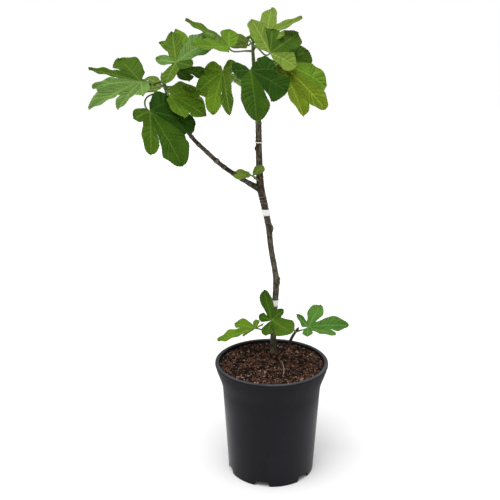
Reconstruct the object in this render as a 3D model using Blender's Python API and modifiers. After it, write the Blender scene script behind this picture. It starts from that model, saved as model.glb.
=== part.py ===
"""A young fig tree in a flared nursery pot.

The trunk leans and kneels as it climbs from the compost, forks once into a long left bough,
and carries on as a leader. Large lobed leaves on curved stalks gather in masses at the bough's
tip, round the leader and at the foot. The tree stands in a black pot filled with compost.
Sizes below are in millimetres, and MM turns them into Blender's metres.
"""

import math
import random

import bmesh
import bpy
from mathutils import Vector

MM = 0.001

# What keeps two neighbouring solids apart
GAP = 0.3
WELD = 0.00001

# Pot: a tapered body with a trumpet flare under the rim, on a notched foot ring
POT_HEIGHT = 233.0
RIM_RADIUS = 112.5
RIM_WIDTH = 8.0
RIM_ROUND = 2.5
COLLAR_RADIUS = 97.5
COLLAR_HEIGHT = 56.0
FOOT_RADIUS = 86.5
WALL = 2.2
FLOOR_HEIGHT = 11.0
FLOOR_THICKNESS = 2.5
PAD_RADIUS = 40.0
PAD_SLOPE = 7.0
FLARE_STEPS = 6
POT_STEPS = 48

# Notches cut in the foot ring, the first one a little left of the front
NOTCHES = 6
FIRST_NOTCH_DEG = 257.0
NOTCH_HEIGHT = 10.5
NOTCH_TOP_WIDTH = 23.0
NOTCH_FOOT_WIDTH = 32.0
NOTCH_DEPTH = 16.0

# Compost, which fills the pot to just under the rim
SOIL_TOP = 229.0

# Trunk, from its flat cut on the compost up through the fork to the leader's tip: x, y, z, radius
TRUNK_SIDES = 10
TRUNK = (
    (4.0, 44.0, SOIL_TOP + GAP, 9.0),
    (4.0, 44.0, 231.5, 8.0),
    (4.0, 44.0, 238.0, 6.6),
    (5.0, 42.0, 300.0, 5.9),
    (9.0, 39.0, 384.0, 6.2),
    (6.0, 38.0, 411.0, 5.6),
    (-2.0, 37.0, 456.0, 5.4),
    (-7.0, 36.0, 500.0, 5.9),
    (-15.0, 34.0, 541.0, 6.7),
    (-23.0, 33.0, 581.0, 7.1),
    (-26.0, 32.0, 640.0, 6.1),
    (-28.0, 30.0, 715.0, 5.5),
    (-34.0, 27.0, 780.0, 4.3),
    (-36.0, 26.5, 806.0, 3.6),
)
# Swellings where old side shoots were cut away: x, y, z, radius
KNOTS = (
    (11.5, 37.0, 388.0, 5.4),
    (-3.0, 35.0, 498.0, 5.4),
    (-30.5, 31.0, 653.0, 4.4),
)

# Bough, which leaves the trunk at the fork and arches out to the left
BOUGH_SIDES = 8
BOUGH = (
    (-25.0, 33.0, 576.0, 5.6),
    (-41.0, 28.0, 585.0, 4.7),
    (-69.0, 20.0, 604.0, 4.5),
    (-98.0, 14.0, 626.0, 4.4),
    (-123.0, 9.0, 650.0, 4.1),
    (-149.0, 5.0, 677.0, 3.8),
    (-171.0, 2.0, 712.0, 3.5),
    (-187.0, 1.0, 744.0, 3.0),
)

# White bands of tape wound round the trunk: lowest z, highest z, thickness
BANDS = {
    "lower_band": (334.0, 348.0, 0.8),
    "upper_band": (522.5, 535.5, 0.9),
    "fine_tie": (664.5, 667.5, 0.6),
}

# Leaves
LEAF_THICKNESS = 1.3
STALK_RADIUS = 1.7
STALK_FOOT_RADIUS = 2.3
STALK_SIDES = 4
STALK_STEPS = 5
STALK_ROOT = 5.0
SHOOT_SIDES = 6
WIDEST_AT = 0.62
OUTER_SPREAD_DEG = 55.0
OUTER_CUT = 0.30
SINUS_SLACK = 0.96
RIB_EASE = 0.85
FOLD_ROUND = 6.0
LOBE_LIFT = 0.035
WAVE = 0.02

# Faces along a lobe's margin: up to the notch, on to the widest place, and round the tip
MARGIN_STEPS = (1, 1, 2)

# The even five-lobed blade of the leaves that face away: angle, length, half width, notch depth
EVEN_BLADE = (
    (-98.0, 0.42, 0.16, 0.55),
    (-46.0, 0.82, 0.18, 0.50),
    (0.0, 1.00, 0.20, 0.50),
    (46.0, 0.82, 0.18, 0.55),
    (98.0, 0.42, 0.16, 0.0),
)

# Each mass is one shoot, with leaves that have a place of their own and leaves that follow the
# rule of back_leaves. A shoot is x, y, z, radius at each bend. A leaf is: where its stalk starts
# along the shoot, how the stalk bows, the blade's foot, its aim (compass turn, rise, roll), its
# droop and fold in degrees, and its lobes (angle, length, half width, depth of the notch after).
MASSES = {
    "bough_foliage": {
        "shoot": (
            (-187.15, 0.95, 744.3, 2.9),
            (-194.0, 0.0, 762.0, 2.7),
            (-199.0, 0.0, 777.0, 2.3),
            (-201.0, 0.0, 788.0, 1.2),
        ),
        "leaves": (
            (0.55, (-26, -4, -12), (-238, -15, 781), (199, -16, -30), 20, 16, (
                (-78, 73, 25, 0.60), (-43, 103, 7, 0.44), (-24, 90, 9, 0.88),
                (4, 105, 19, 0.42), (40, 80, 13, 0.60), (77, 56, 14, 0.0))),
            (0.60, (0, 6, 4), (-208, 22, 770), (180, 6, -23), 11, 4, (
                (-48, 40, 14, 0.60), (-3, 60, 18, 0.60), (52, 45, 14, 0.0))),
            (0.80, (-2, -8, 14), (-172, -38, 816), (15, 30, 37), 29, 11, (
                (-143, 48, 15, 0.60), (-60, 36, 11, 0.80), (8, 90, 26, 0.40),
                (66, 66, 16, 0.50), (131, 38, 11, 0.0))),
            (0.70, (6, 4, 6), (-174, 8, 801), (2, -6, 34), 20, 6, (
                (-50, 38, 15, 0.70), (0, 62, 16, 0.70), (50, 36, 12, 0.0))),
            (0.85, (8, 6, 12), (-153, 22, 821), (169, 46, -42), 17, 7, (
                (-67, 32, 11, 0.60), (-22, 52, 12, 0.50), (20, 56, 12, 0.60), (70, 38, 12, 0.0))),
            (0.20, (-38, -22, 22), (-218, -58, 734), (327, -47, 22), 21, 3, (
                (-90, 35, 13, 0.80), (-32, 87, 17, 0.56), (0, 114, 30, 0.84),
                (52, 88, 28, 0.90), (96, 54, 26, 0.0))),
            (0.30, (4, -10, 6), (-186, -20, 757), (6, -23, 34), 20, 5, (
                (-48, 55, 17, 0.75), (0, 76, 22, 0.80), (50, 68, 22, 0.0))),
        ),
        "back": {"count": 3, "first": 60.0, "step": 34.0, "low": 0.35, "high": 0.7, "length": 84.0,
                 "rise": -12.0, "lift": -4.0, "seed": 4},
    },
    "top_foliage": {
        "shoot": (
            (-36.05, 26.5, 806.3, 3.5),
            (-37.5, 26.0, 825.0, 3.0),
            (-38.0, 26.0, 842.0, 2.4),
            (-37.0, 26.0, 853.0, 1.2),
        ),
        "leaves": (
            (0.42, (-6, -6, 2), (-80, -8, 840), (184, 24, -26), 8, 7, (
                (-79, 50, 17, 0.50), (-19, 94, 10, 0.50), (41, 85, 16, 0.0))),
            (0.85, (4, 2, 6), (-12, 34, 858), (40, 44, 13), 9, 6, (
                (-78, 38, 12, 0.60), (-36, 71, 12, 0.40), (32, 78, 16, 0.50), (90, 36, 14, 0.0))),
            (0.70, (4, -10, 2), (-8, -16, 830), (48, 27, 47), 19, -3, (
                (-60, 54, 22, 0.75), (-3, 90, 23, 0.80), (32, 60, 22, 0.80), (62, 80, 20, 0.0))),
            (0.75, (-2, 4, 4), (-47, 44, 842), (170, 19, 48), 18, 7, (
                (-28, 36, 8, 0.60), (38, 30, 9, 0.0))),
        ),
        "back": {"count": 2, "first": 60.0, "step": 50.0, "low": 0.4, "high": 0.6, "length": 84.0,
                 "rise": -2.0, "lift": 18.0, "seed": 9},
    },
    "right_foliage": {
        "shoot": (
            (-35.0, 27.0, 790.0, 3.4),
            (-28.0, 25.0, 794.0, 2.8),
        ),
        "leaves": (
            (0.9, (14, -4, 8), (11, 15, 812), (331, -36, 24), 18, 2, (
                (-23, 116, 18, 0.78), (2, 120, 20, 0.88), (31, 96, 26, 0.90), (83, 70, 26, 0.0))),
        ),
        "back": {"count": 1, "first": 40.0, "step": 0.0, "low": 0.9, "high": 0.9, "length": 84.0,
                 "rise": -22.0, "lift": 18.0, "seed": 2},
    },
    "front_foliage": {
        "shoot": (
            (-34.0, 27.0, 779.0, 3.4),
            (-35.0, 19.5, 783.0, 2.8),
        ),
        "leaves": (
            (0.9, (-4, -14, 12), (-43, -48, 803), (326, -49, 24), 23, 12, (
                (-107, 36, 17, 0.90), (-26, 99, 29, 0.56), (36, 76, 37, 0.97), (70, 50, 25, 0.0))),
        ),
    },
    "left_foliage": {
        "shoot": (
            (-33.0, 28.0, 765.0, 3.4),
            (-40.0, 27.0, 769.0, 2.8),
        ),
        "leaves": (
            (0.9, (-10, -6, 14), (-91, -20, 799), (250, -66, 4), 18, 7, (
                (-100, 36, 14, 0.80), (-51, 60, 18, 0.80), (-11, 78, 20, 0.45),
                (17, 84, 12, 0.60), (122, 28, 13, 0.0))),
        ),
        "back": {"count": 1, "first": 125.0, "step": 0.0, "low": 0.9, "high": 0.9, "length": 84.0,
                 "rise": -16.0, "lift": 14.0, "seed": 5},
    },
    "fork_sprout": {
        "shoot": (
            (-24.0, 33.0, 590.0, 2.6),
            (-33.0, 20.0, 598.0, 1.8),
        ),
        "leaves": (
            (0.95, (-2, -2, 2), (-40, 12, 606), (182, 4, -30), 14, 8, ((0, 36, 11, 0.0),)),
            (0.95, (2, -2, 4), (-33, 12, 607), (17, 42, 24), 14, 8, ((0, 26, 9, 0.0),)),
        ),
    },
    "left_basal_shoot": {
        "shoot": (
            (4.5, 43.0, 272.0, 2.6),
            (-9.0, 43.0, 278.0, 2.0),
        ),
        "leaves": (
            (0.95, (-6, 0, 3), (-33, 44, 285), (185, -28, 4), 2, 18, (
                (-111, 23, 9, 0.60), (-54, 61, 14, 0.40), (-20, 89, 14, 0.45),
                (51, 40, 10, 0.50), (129, 31, 9, 0.0))),
        ),
    },
    "right_basal_shoot": {
        "shoot": (
            (41.0, 90.0, SOIL_TOP + GAP, 3.6),
            (41.0, 90.0, 231.5, 3.4),
            (41.0, 90.0, 235.0, 3.2),
            (47.0, 89.0, 249.0, 3.0),
            (55.0, 88.0, 262.0, 2.2),
        ),
        "leaves": (
            (0.95, (2, -30, 26), (-1, -24, 329), (8, 26, 29), 13, 9, (
                (-129, 37, 14, 0.70), (-66, 59, 21, 0.60), (20, 31, 9, 0.60),
                (81, 74, 12, 0.50), (132, 28, 10, 0.0))),
            (0.95, (6, -2, 3), (78, 80, 272), (6, 9, 22), 18, 13, (
                (-106, 32, 11, 0.50), (-38, 63, 12, 0.40), (-3, 86, 21, 0.30),
                (55, 66, 16, 0.35), (112, 42, 6, 0.0))),
        ),
    },
}


def clear_scene():
    for leftover in list(bpy.data.objects):
        bpy.data.objects.remove(leftover, do_unlink=True)


def new_collection(name):
    collection = bpy.data.collections.new(name)
    bpy.context.scene.collection.children.link(collection)
    return collection


def new_material(name, colour, roughness):
    made = bpy.data.materials.new(name)
    made.use_nodes = True
    shader = made.node_tree.nodes["Principled BSDF"]
    shader.inputs["Base Color"].default_value = (*colour, 1.0)
    shader.inputs["Roughness"].default_value = roughness
    shader.inputs["Metallic"].default_value = 0.0
    return made


def add_object(name, data, collection, surface=None):
    thing = bpy.data.objects.new(name, data)
    collection.objects.link(thing)
    if surface:
        data.materials.clear()
        data.materials.append(surface)
    return thing


def evaluated_mesh(thing):
    graph = bpy.context.evaluated_depsgraph_get()
    return bpy.data.meshes.new_from_object(thing.evaluated_get(graph))


def smooth_route(stations, per_span):
    """Points on a smooth curve through the stations, each with its blended radius."""
    rows = [Vector(station) for station in stations]
    spans = [(end.xyz - start.xyz).length for start, end in zip(rows, rows[1:])]
    slopes = []
    for index in range(len(rows)):
        low, high = max(index - 1, 0), min(index + 1, len(rows) - 1)
        slopes.append((rows[high] - rows[low]) / sum(spans[low:high]))
    points = []
    for start, end, span, leave, arrive in zip(rows, rows[1:], spans, slopes, slopes[1:]):
        for step in range(per_span):
            t = step / per_span
            points.append(start * (1 + 2 * t) * (1 - t) ** 2 + leave * span * t * (1 - t) ** 2
                          + end * t * t * (3 - 2 * t) - arrive * span * t * t * (1 - t))
    points.append(rows[-1])
    return points


def tube(name, points, sides, collection, extra=0.0):
    """A closed tube round the points, whose fourth number is the radius."""
    data = bpy.data.curves.new(name, "CURVE")
    data.dimensions = "3D"
    data.bevel_depth = MM
    data.bevel_resolution = (sides - 4) // 2
    data.use_fill_caps = True
    spline = data.splines.new("POLY")
    spline.points.add(len(points) - 1)
    for knot, point in zip(spline.points, points):
        knot.co = (*(point.xyz * MM), 1.0)
        knot.radius = point.w + extra
    guide = add_object(name, data, collection)
    mesh = evaluated_mesh(guide)
    bpy.data.objects.remove(guide, do_unlink=True)
    bpy.data.curves.remove(data)
    shape = bmesh.new()
    shape.from_mesh(mesh)
    bmesh.ops.remove_doubles(shape, verts=shape.verts, dist=WELD)
    bmesh.ops.recalc_face_normals(shape, faces=shape.faces)
    shape.to_mesh(mesh)
    shape.free()
    return add_object(name, mesh, collection)


def keep_main_shell(mesh):
    """Drops what is not joined to the largest shell: loose scraps, and hollows sealed by fusing."""
    shape = bmesh.new()
    shape.from_mesh(mesh)
    bmesh.ops.remove_doubles(shape, verts=shape.verts, dist=WELD)
    unseen = set(shape.faces)
    shells = []
    while unseen:
        front = [unseen.pop()]
        shell = []
        while front:
            face = front.pop()
            shell.append(face)
            for edge in face.edges:
                for other in edge.link_faces:
                    if other in unseen:
                        unseen.remove(other)
                        front.append(other)
        shells.append(shell)
    shells.sort(key=len)
    for shell in shells[:-1]:
        bmesh.ops.delete(shape, geom=shell, context="FACES")
    bmesh.ops.triangulate(shape, faces=shape.faces)
    shape.to_mesh(mesh)
    shape.free()


def apply_boolean(thing, operation, collection, solver):
    """Joins a collection to the object, or cuts it away, and then removes the collection."""
    modifier = thing.modifiers.new(operation.lower(), "BOOLEAN")
    modifier.operation = operation
    modifier.operand_type = "COLLECTION"
    modifier.collection = collection
    modifier.solver = solver
    mesh = evaluated_mesh(thing)
    thing.modifiers.clear()
    surfaces = list(thing.data.materials)
    thing.data = mesh
    for piece in list(collection.objects):
        bpy.data.objects.remove(piece, do_unlink=True)
    bpy.data.collections.remove(collection)
    keep_main_shell(mesh)
    mesh.materials.clear()
    for surface in surfaces:
        mesh.materials.append(surface)
    return thing


def cut_clear(thing, limbs, solver="EXACT"):
    """Cuts the object back so that it stands GAP clear of each limb."""
    cutters = new_collection("clearance")
    for route, sides in limbs:
        tube("clearance", route, sides, cutters, extra=GAP)
    return apply_boolean(thing, "DIFFERENCE", cutters, solver)


def turned(name, profile, steps, collection, surface):
    """A solid turned about the Z axis from (radius, height) points that run down its outer side."""
    mesh = bpy.data.meshes.new(name)
    points = [(radius * MM, 0.0, height * MM) for radius, height in profile]
    mesh.from_pydata(points, [(i, i + 1) for i in range(len(points) - 1)], [])
    thing = add_object(name, mesh, collection, surface)
    screw = thing.modifiers.new("turn", "SCREW")
    screw.steps = steps
    screw.render_steps = steps
    screw.use_merge_vertices = True
    screw.merge_threshold = 0.0001
    screw.use_smooth_shade = True
    return thing


def flare_radius(share):
    """Radius of the collar, from the rim at share 0 down to the body at share 1."""
    ease = (1 + math.cos(math.pi * share)) / 2
    return COLLAR_RADIUS + (RIM_RADIUS - COLLAR_RADIUS) * ease


def pot_profile():
    inner_rim = RIM_RADIUS - RIM_WIDTH
    collar_foot = POT_HEIGHT - COLLAR_HEIGHT
    floor_top = FLOOR_HEIGHT + FLOOR_THICKNESS
    inside = [
        (0.0, FLOOR_THICKNESS),
        (PAD_RADIUS - WALL, FLOOR_THICKNESS),
        (PAD_RADIUS + PAD_SLOPE - WALL, floor_top),
        (FOOT_RADIUS - WALL, floor_top),
        (COLLAR_RADIUS - WALL, collar_foot),
        (inner_rim, POT_HEIGHT - COLLAR_HEIGHT / 3),
        (inner_rim, POT_HEIGHT - RIM_ROUND),
        (inner_rim + RIM_ROUND, POT_HEIGHT),
        (RIM_RADIUS - RIM_ROUND, POT_HEIGHT),
    ]
    first = RIM_ROUND / COLLAR_HEIGHT
    shares = [first + (1 - first) * i / FLARE_STEPS for i in range(FLARE_STEPS + 1)]
    flare = [(flare_radius(share), POT_HEIGHT - COLLAR_HEIGHT * share) for share in shares]
    underside = [
        (FOOT_RADIUS, 0.0),
        (FOOT_RADIUS - WALL, 0.0),
        (FOOT_RADIUS - WALL, FLOOR_HEIGHT),
        (PAD_RADIUS + PAD_SLOPE, FLOOR_HEIGHT),
        (PAD_RADIUS, 0.0),
        (0.0, 0.0),
    ]
    return inside + flare + underside


def notch_cutter(index, collection):
    """A block across the foot ring, narrower at its top."""
    shape = bmesh.new()
    made = bmesh.ops.create_cube(shape, size=1.0)
    for vert in made["verts"]:
        top = vert.co.z > 0
        vert.co.x *= NOTCH_DEPTH
        vert.co.y *= NOTCH_TOP_WIDTH if top else NOTCH_FOOT_WIDTH
        vert.co.z = NOTCH_HEIGHT if top else -1.0
    bmesh.ops.scale(shape, vec=(MM, MM, MM), verts=shape.verts)
    mesh = bpy.data.meshes.new("notch_cutter")
    shape.to_mesh(mesh)
    shape.free()
    cutter = add_object(f"notch_cutter_{index}", mesh, collection)
    turn = math.radians(FIRST_NOTCH_DEG + 360.0 * index / NOTCHES)
    cutter.rotation_euler.z = turn
    cutter.location = Vector((math.cos(turn), math.sin(turn), 0.0)) * FOOT_RADIUS * MM
    cutter.hide_render = True
    cutter.display_type = "WIRE"
    return cutter


def build_pot(tree):
    plastic = new_material("black_plastic", (0.022, 0.022, 0.026), 0.45)
    pot = turned("pot", pot_profile(), POT_STEPS, tree, plastic)
    cutters = new_collection("cutters")
    for index in range(NOTCHES):
        notch_cutter(index, cutters)
    notches = pot.modifiers.new("notches", "BOOLEAN")
    notches.operation = "DIFFERENCE"
    notches.operand_type = "COLLECTION"
    notches.collection = cutters
    return pot


def wall_radius(height):
    """Inner radius of the pot's body at a height between its floor and the rim."""
    collar_foot = POT_HEIGHT - COLLAR_HEIGHT
    floor_top = FLOOR_HEIGHT + FLOOR_THICKNESS
    share = (height - floor_top) / (collar_foot - floor_top)
    return FOOT_RADIUS - WALL + (COLLAR_RADIUS - FOOT_RADIUS) * share


def build_soil(tree):
    bark_mix = new_material("compost", (0.10, 0.055, 0.035), 0.95)
    floor_top = FLOOR_HEIGHT + FLOOR_THICKNESS
    collar_foot = POT_HEIGHT - COLLAR_HEIGHT
    inner_rim = RIM_RADIUS - RIM_WIDTH
    profile = [
        (0.0, SOIL_TOP),
        (inner_rim - GAP, SOIL_TOP),
        (inner_rim - GAP, POT_HEIGHT - COLLAR_HEIGHT / 3),
        (wall_radius(collar_foot) - GAP, collar_foot),
        (wall_radius(floor_top) - GAP, floor_top + GAP),
        (0.0, floor_top + GAP),
    ]
    return turned("soil", profile, POT_STEPS, tree, bark_mix)


def build_trunk(route, tree):
    bark = new_material("trunk_bark", (0.13, 0.10, 0.075), 0.85)
    trunk = tube("trunk", route, TRUNK_SIDES, tree)
    trunk.data.materials.append(bark)
    knots = new_collection("knots")
    for x, y, z, radius in KNOTS:
        shape = bmesh.new()
        bmesh.ops.create_icosphere(shape, subdivisions=2, radius=radius * MM)
        bmesh.ops.translate(shape, vec=Vector((x, y, z)) * MM, verts=shape.verts)
        mesh = bpy.data.meshes.new("knot")
        shape.to_mesh(mesh)
        shape.free()
        add_object("knot", mesh, knots)
    return apply_boolean(trunk, "UNION", knots, "EXACT")


def build_bough(route, trunk_route, tree):
    bark = new_material("bough_bark", (0.09, 0.065, 0.05), 0.85)
    bough = tube("left_bough", route, BOUGH_SIDES, tree)
    bough.data.materials.append(bark)
    return cut_clear(bough, [(trunk_route, TRUNK_SIDES)])


def build_band(name, low, high, thickness, trunk_route, film, tree):
    """A sleeve round the trunk between two heights, GAP clear of the bark."""
    around = [point for point in trunk_route if low < point.z < high]
    below = max((p for p in trunk_route if p.z <= low), key=lambda p: p.z)
    above = min((p for p in trunk_route if p.z >= high), key=lambda p: p.z)
    line = [below] + around + [above]
    ends = []
    for height in (low, high):
        for start, end in zip(line, line[1:]):
            if start.z <= height <= end.z:
                ends.append(start.lerp(end, (height - start.z) / (end.z - start.z)))
                break
    sleeve = tube(name, [ends[0]] + around + [ends[1]], TRUNK_SIDES, tree, extra=GAP + thickness)
    sleeve.data.materials.append(film)
    return cut_clear(sleeve, [(trunk_route, TRUNK_SIDES)])


def margin_places(steps):
    """Places along a lobe's margin: 0 to 1 up to the notch, 1 to 2 to the widest, 2 to 3 the tip."""
    places = [0.0]
    for stage, count in enumerate(steps):
        places += [stage + (i + 1) / count for i in range(count)]
    return places


def widest_place(length, notch_reach):
    return max(WIDEST_AT * length, notch_reach + 0.25 * (length - notch_reach))


def margin_point(place, length, half_width, spread, cut):
    """The margin of half a lobe: how far along the lobe, and how far out from its rib."""
    notch = Vector((math.cos(spread), math.sin(spread))) * cut
    widest = widest_place(length, notch.x)
    if place <= 1.0:
        return notch * place
    if place <= 2.0:
        share = place - 1.0
        ease = share * share * (3 - 2 * share)
        along = notch.x + (widest - notch.x) * share
        out = notch.y + (half_width - notch.y) * ease
    else:
        turn = (place - 2.0) * math.pi / 2
        along = widest + (length - widest) * math.sin(turn)
        out = half_width * math.cos(turn)
    return Vector((along, min(out, along * math.tan(spread) * SINUS_SLACK)))


def rib_point(place, length, notches):
    """How far along the rib a place lies, the same for both halves of the lobe."""
    reach = sum(cut * math.cos(spread) for _, spread, cut in notches) / 2
    widest = widest_place(length, reach)
    stops = (0.0, reach * RIB_EASE, widest * RIB_EASE, length)
    stage = min(int(place), 2)
    return stops[stage] + (stops[stage + 1] - stops[stage]) * (place - stage)


def notches_of(lobes, index):
    """The notch on each side of a lobe: side, angle from the lobe's rib, distance from the foot."""
    angle, length, half_width = lobes[index][:3]
    found = []
    for side in (-1, 1):
        other = index + side
        if not 0 <= other < len(lobes):
            free = (340.0 - lobes[-1][0] + lobes[0][0]) / 2
            spread = min(OUTER_SPREAD_DEG, free)
            found.append((side, math.radians(spread), OUTER_CUT * length))
            continue
        depth = lobes[min(index, other)][3] * min(length, lobes[other][1])
        weight = 0.25 + 0.5 * half_width / (half_width + lobes[other][2])
        spread = abs(lobes[other][0] - angle) * weight
        found.append((side, math.radians(spread), depth))
    return found


def curve_blade(flat, out, size, droop, fold, phase):
    """Bends a flat point of the blade down along an arc, and folds it up along the middle rib."""
    reach = flat.length
    if reach == 0.0:
        return Vector((0.0, 0.0, 0.0))
    rate = math.radians(droop) / size
    bent = flat * (math.sin(rate * reach) / (rate * reach))
    height = (math.cos(rate * reach) - 1.0) / rate
    height += math.tan(math.radians(fold)) * (math.hypot(bent.y, FOLD_ROUND) - FOLD_ROUND)
    far = reach / size
    height += LOBE_LIFT * size * out * out * min(1.0, 2.0 * far)
    turn = math.atan2(flat.y, flat.x)
    height += WAVE * size * far * far * math.sin(5.0 * turn + phase)
    return Vector((bent.x, bent.y, height))


def half_lobe(shape, lobe, notches, half, places, across):
    """A grid of faces from the rib to the margin of half a lobe, flat in the blade's plane."""
    angle, length, half_width = lobe[:3]
    side, spread, cut = notches[half]
    cells = len(places) - 1
    made = bmesh.ops.create_grid(shape, x_segments=cells, y_segments=across, size=1.0)
    lean = math.radians(angle)
    shares = {}
    for vert in made["verts"]:
        place = places[round((vert.co.x + 1) / 2 * cells)]
        out = (vert.co.y + 1) / 2
        edge = margin_point(place, length, half_width, spread, cut)
        rib = rib_point(place, length, notches)
        along = rib + (edge.x - rib) * out
        aside = edge.y * out * side
        vert.co = (along * math.cos(lean) - aside * math.sin(lean),
                   along * math.sin(lean) + aside * math.cos(lean), 0.0)
        shares[vert] = out
    if side < 0:
        faces = list({face for vert in made["verts"] for face in vert.link_faces})
        bmesh.ops.reverse_faces(shape, faces=faces)
    return shares


def blade_axes(aim):
    """The blade's own axes in the world: along its middle rib, across it, and out of its face."""
    turn, rise, roll = (math.radians(part) for part in aim)
    along = Vector((math.cos(turn) * math.cos(rise), math.sin(turn) * math.cos(rise),
                    math.sin(rise)))
    level = Vector((-math.sin(turn), math.cos(turn), 0.0))
    upright = along.cross(level)
    across = level * math.cos(roll) + upright * math.sin(roll)
    return along, across, along.cross(across)


def build_blade(leaf, phase, collection):
    """One leaf blade, a thin lobed shell in its place in the tree."""
    foot, aim, droop, fold, lobes = leaf[2:]
    size = max(lobe[1] for lobe in lobes)
    places = margin_places(MARGIN_STEPS)
    along, across, face_way = blade_axes(aim)
    shape = bmesh.new()
    shares = {}
    for index, lobe in enumerate(lobes):
        notches = notches_of(lobes, index)
        for half in (0, 1):
            shares.update(half_lobe(shape, lobe, notches, half, places, 1))
    for vert, out in shares.items():
        local = curve_blade(vert.co.xy, out, size, droop, fold, phase)
        spot = Vector(foot) + along * local.x + across * local.y + face_way * local.z
        vert.co = spot * MM
    bmesh.ops.remove_doubles(shape, verts=shape.verts, dist=WELD)
    bmesh.ops.dissolve_degenerate(shape, edges=shape.edges, dist=WELD)
    mesh = bpy.data.meshes.new("blade")
    shape.to_mesh(mesh)
    shape.free()
    blade = add_object("blade", mesh, collection)
    shell = blade.modifiers.new("thickness", "SOLIDIFY")
    shell.thickness = LEAF_THICKNESS * MM
    shell.offset = 0.0
    return blade


def stalk_route(start, leaf):
    """A stalk from its place on the shoot to a little way inside the blade's foot."""
    bow, foot, aim = leaf[1:4]
    along, _, face_way = blade_axes(aim)
    foot = Vector(foot)
    arrive = (along + face_way).normalized()
    span = (foot - start).length
    first = start + (foot - start) * 0.35 + Vector(bow)
    second = foot - arrive * span * 0.3
    points = []
    for step in range(STALK_STEPS):
        t = step / (STALK_STEPS - 1)
        spot = (start * (1 - t) ** 3 + first * 3 * t * (1 - t) ** 2
                + second * 3 * t * t * (1 - t) + foot * t ** 3)
        radius = STALK_FOOT_RADIUS + (STALK_RADIUS - STALK_FOOT_RADIUS) * min(1.0, 2 * t)
        points.append(Vector((*spot, radius)))
    inside = foot + along * STALK_ROOT - face_way * 0.4
    points.append(Vector((*inside, STALK_RADIUS * 0.6)))
    return points


def back_leaves(rule):
    """Leaves of the side that faces away, fanned round the shoot with a seeded spread."""
    draw = random.Random(rule["seed"])
    leaves = []
    for index in range(rule["count"]):
        turn = rule["first"] + index * rule["step"] + draw.uniform(-8.0, 8.0)
        share = 0.5 if rule["count"] == 1 else index / (rule["count"] - 1)
        at = rule["low"] + (rule["high"] - rule["low"]) * share
        length = rule["length"] * draw.uniform(0.9, 1.1)
        rise = rule["rise"] + draw.uniform(-8.0, 8.0)
        leaves.append((turn, at, length, rise, draw.uniform(-12.0, 12.0)))
    return leaves


def back_leaf(row, lift, route):
    """The full description of one leaf of the far side, from its turn about the shoot."""
    turn, at, length, rise, roll = row
    start = route[round(at * (len(route) - 1))].xyz
    out = Vector((math.cos(math.radians(turn)), math.sin(math.radians(turn)), 0.0))
    foot = start + out * length * 0.5 + Vector((0.0, 0.0, lift))
    lobes = tuple((angle, reach * length, wide * length, cut)
                  for angle, reach, wide, cut in EVEN_BLADE)
    return (at, (0, 0, 10), tuple(foot), (turn, rise, roll), 30, 8, lobes)


def build_mass(name, plan, limbs, surface, tree):
    """One shoot with its stalks and blades fused on, cut clear of the limbs it meets."""
    route = smooth_route(plan["shoot"], 3)
    shoot = tube(name, route, SHOOT_SIDES, tree)
    shoot.data.materials.append(surface)
    leaves = list(plan["leaves"])
    if "back" in plan:
        rule = plan["back"]
        leaves += [back_leaf(row, rule["lift"], route) for row in back_leaves(rule)]
    pieces = new_collection(f"{name}_pieces")
    for index, leaf in enumerate(leaves):
        start = route[round(leaf[0] * (len(route) - 1))].xyz
        tube("stalk", stalk_route(start, leaf), STALK_SIDES, pieces)
        build_blade(leaf, float(index), pieces)
    # EXACT leaves loose edges where thin folded blades cross, so a mass takes MANIFOLD
    apply_boolean(shoot, "UNION", pieces, "MANIFOLD")
    return cut_clear(shoot, limbs, "MANIFOLD")


def main():
    clear_scene()
    tree = new_collection("fig_tree_in_pot")
    trunk_route = smooth_route(TRUNK, 3)
    bough_route = smooth_route(BOUGH, 3)
    build_trunk(trunk_route, tree)
    build_bough(bough_route, trunk_route, tree)
    film = new_material("white_tape", (0.78, 0.77, 0.74), 0.4)
    for name, (low, high, thickness) in BANDS.items():
        build_band(name, low, high, thickness, trunk_route, film, tree)
    green = new_material("fig_leaf", (0.07, 0.17, 0.035), 0.55)
    limbs = [(trunk_route, TRUNK_SIDES), (bough_route, BOUGH_SIDES)]
    for name, plan in MASSES.items():
        build_mass(name, plan, limbs, green, tree)
    build_soil(tree)
    build_pot(tree)


main()
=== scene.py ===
"""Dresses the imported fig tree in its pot.

The solids give every place and reach. Here the trunk and bough get bark relief, each mass of
foliage grows leaf by leaf from the rule that the source uses, and the pot, compost and bands of
tape get their finish. Plant sizes are in millimetres, and MM turns them into metres.
"""

import math
import random

import bmesh
import bpy
from mathutils import Matrix, Vector, noise


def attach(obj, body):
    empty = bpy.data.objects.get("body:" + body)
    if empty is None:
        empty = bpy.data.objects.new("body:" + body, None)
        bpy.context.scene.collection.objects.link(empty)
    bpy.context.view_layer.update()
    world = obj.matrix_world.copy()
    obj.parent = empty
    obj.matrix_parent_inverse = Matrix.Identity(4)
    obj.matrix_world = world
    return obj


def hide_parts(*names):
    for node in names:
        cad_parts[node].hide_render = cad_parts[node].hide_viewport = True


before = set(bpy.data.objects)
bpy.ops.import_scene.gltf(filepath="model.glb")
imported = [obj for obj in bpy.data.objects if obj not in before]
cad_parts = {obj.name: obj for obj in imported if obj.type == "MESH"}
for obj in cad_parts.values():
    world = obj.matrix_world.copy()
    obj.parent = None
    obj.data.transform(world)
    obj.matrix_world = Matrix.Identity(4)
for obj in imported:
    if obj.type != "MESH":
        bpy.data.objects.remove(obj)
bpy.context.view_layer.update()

MM = 0.001
WELD = 0.00001
SEAM_WELD = 0.000002

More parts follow.
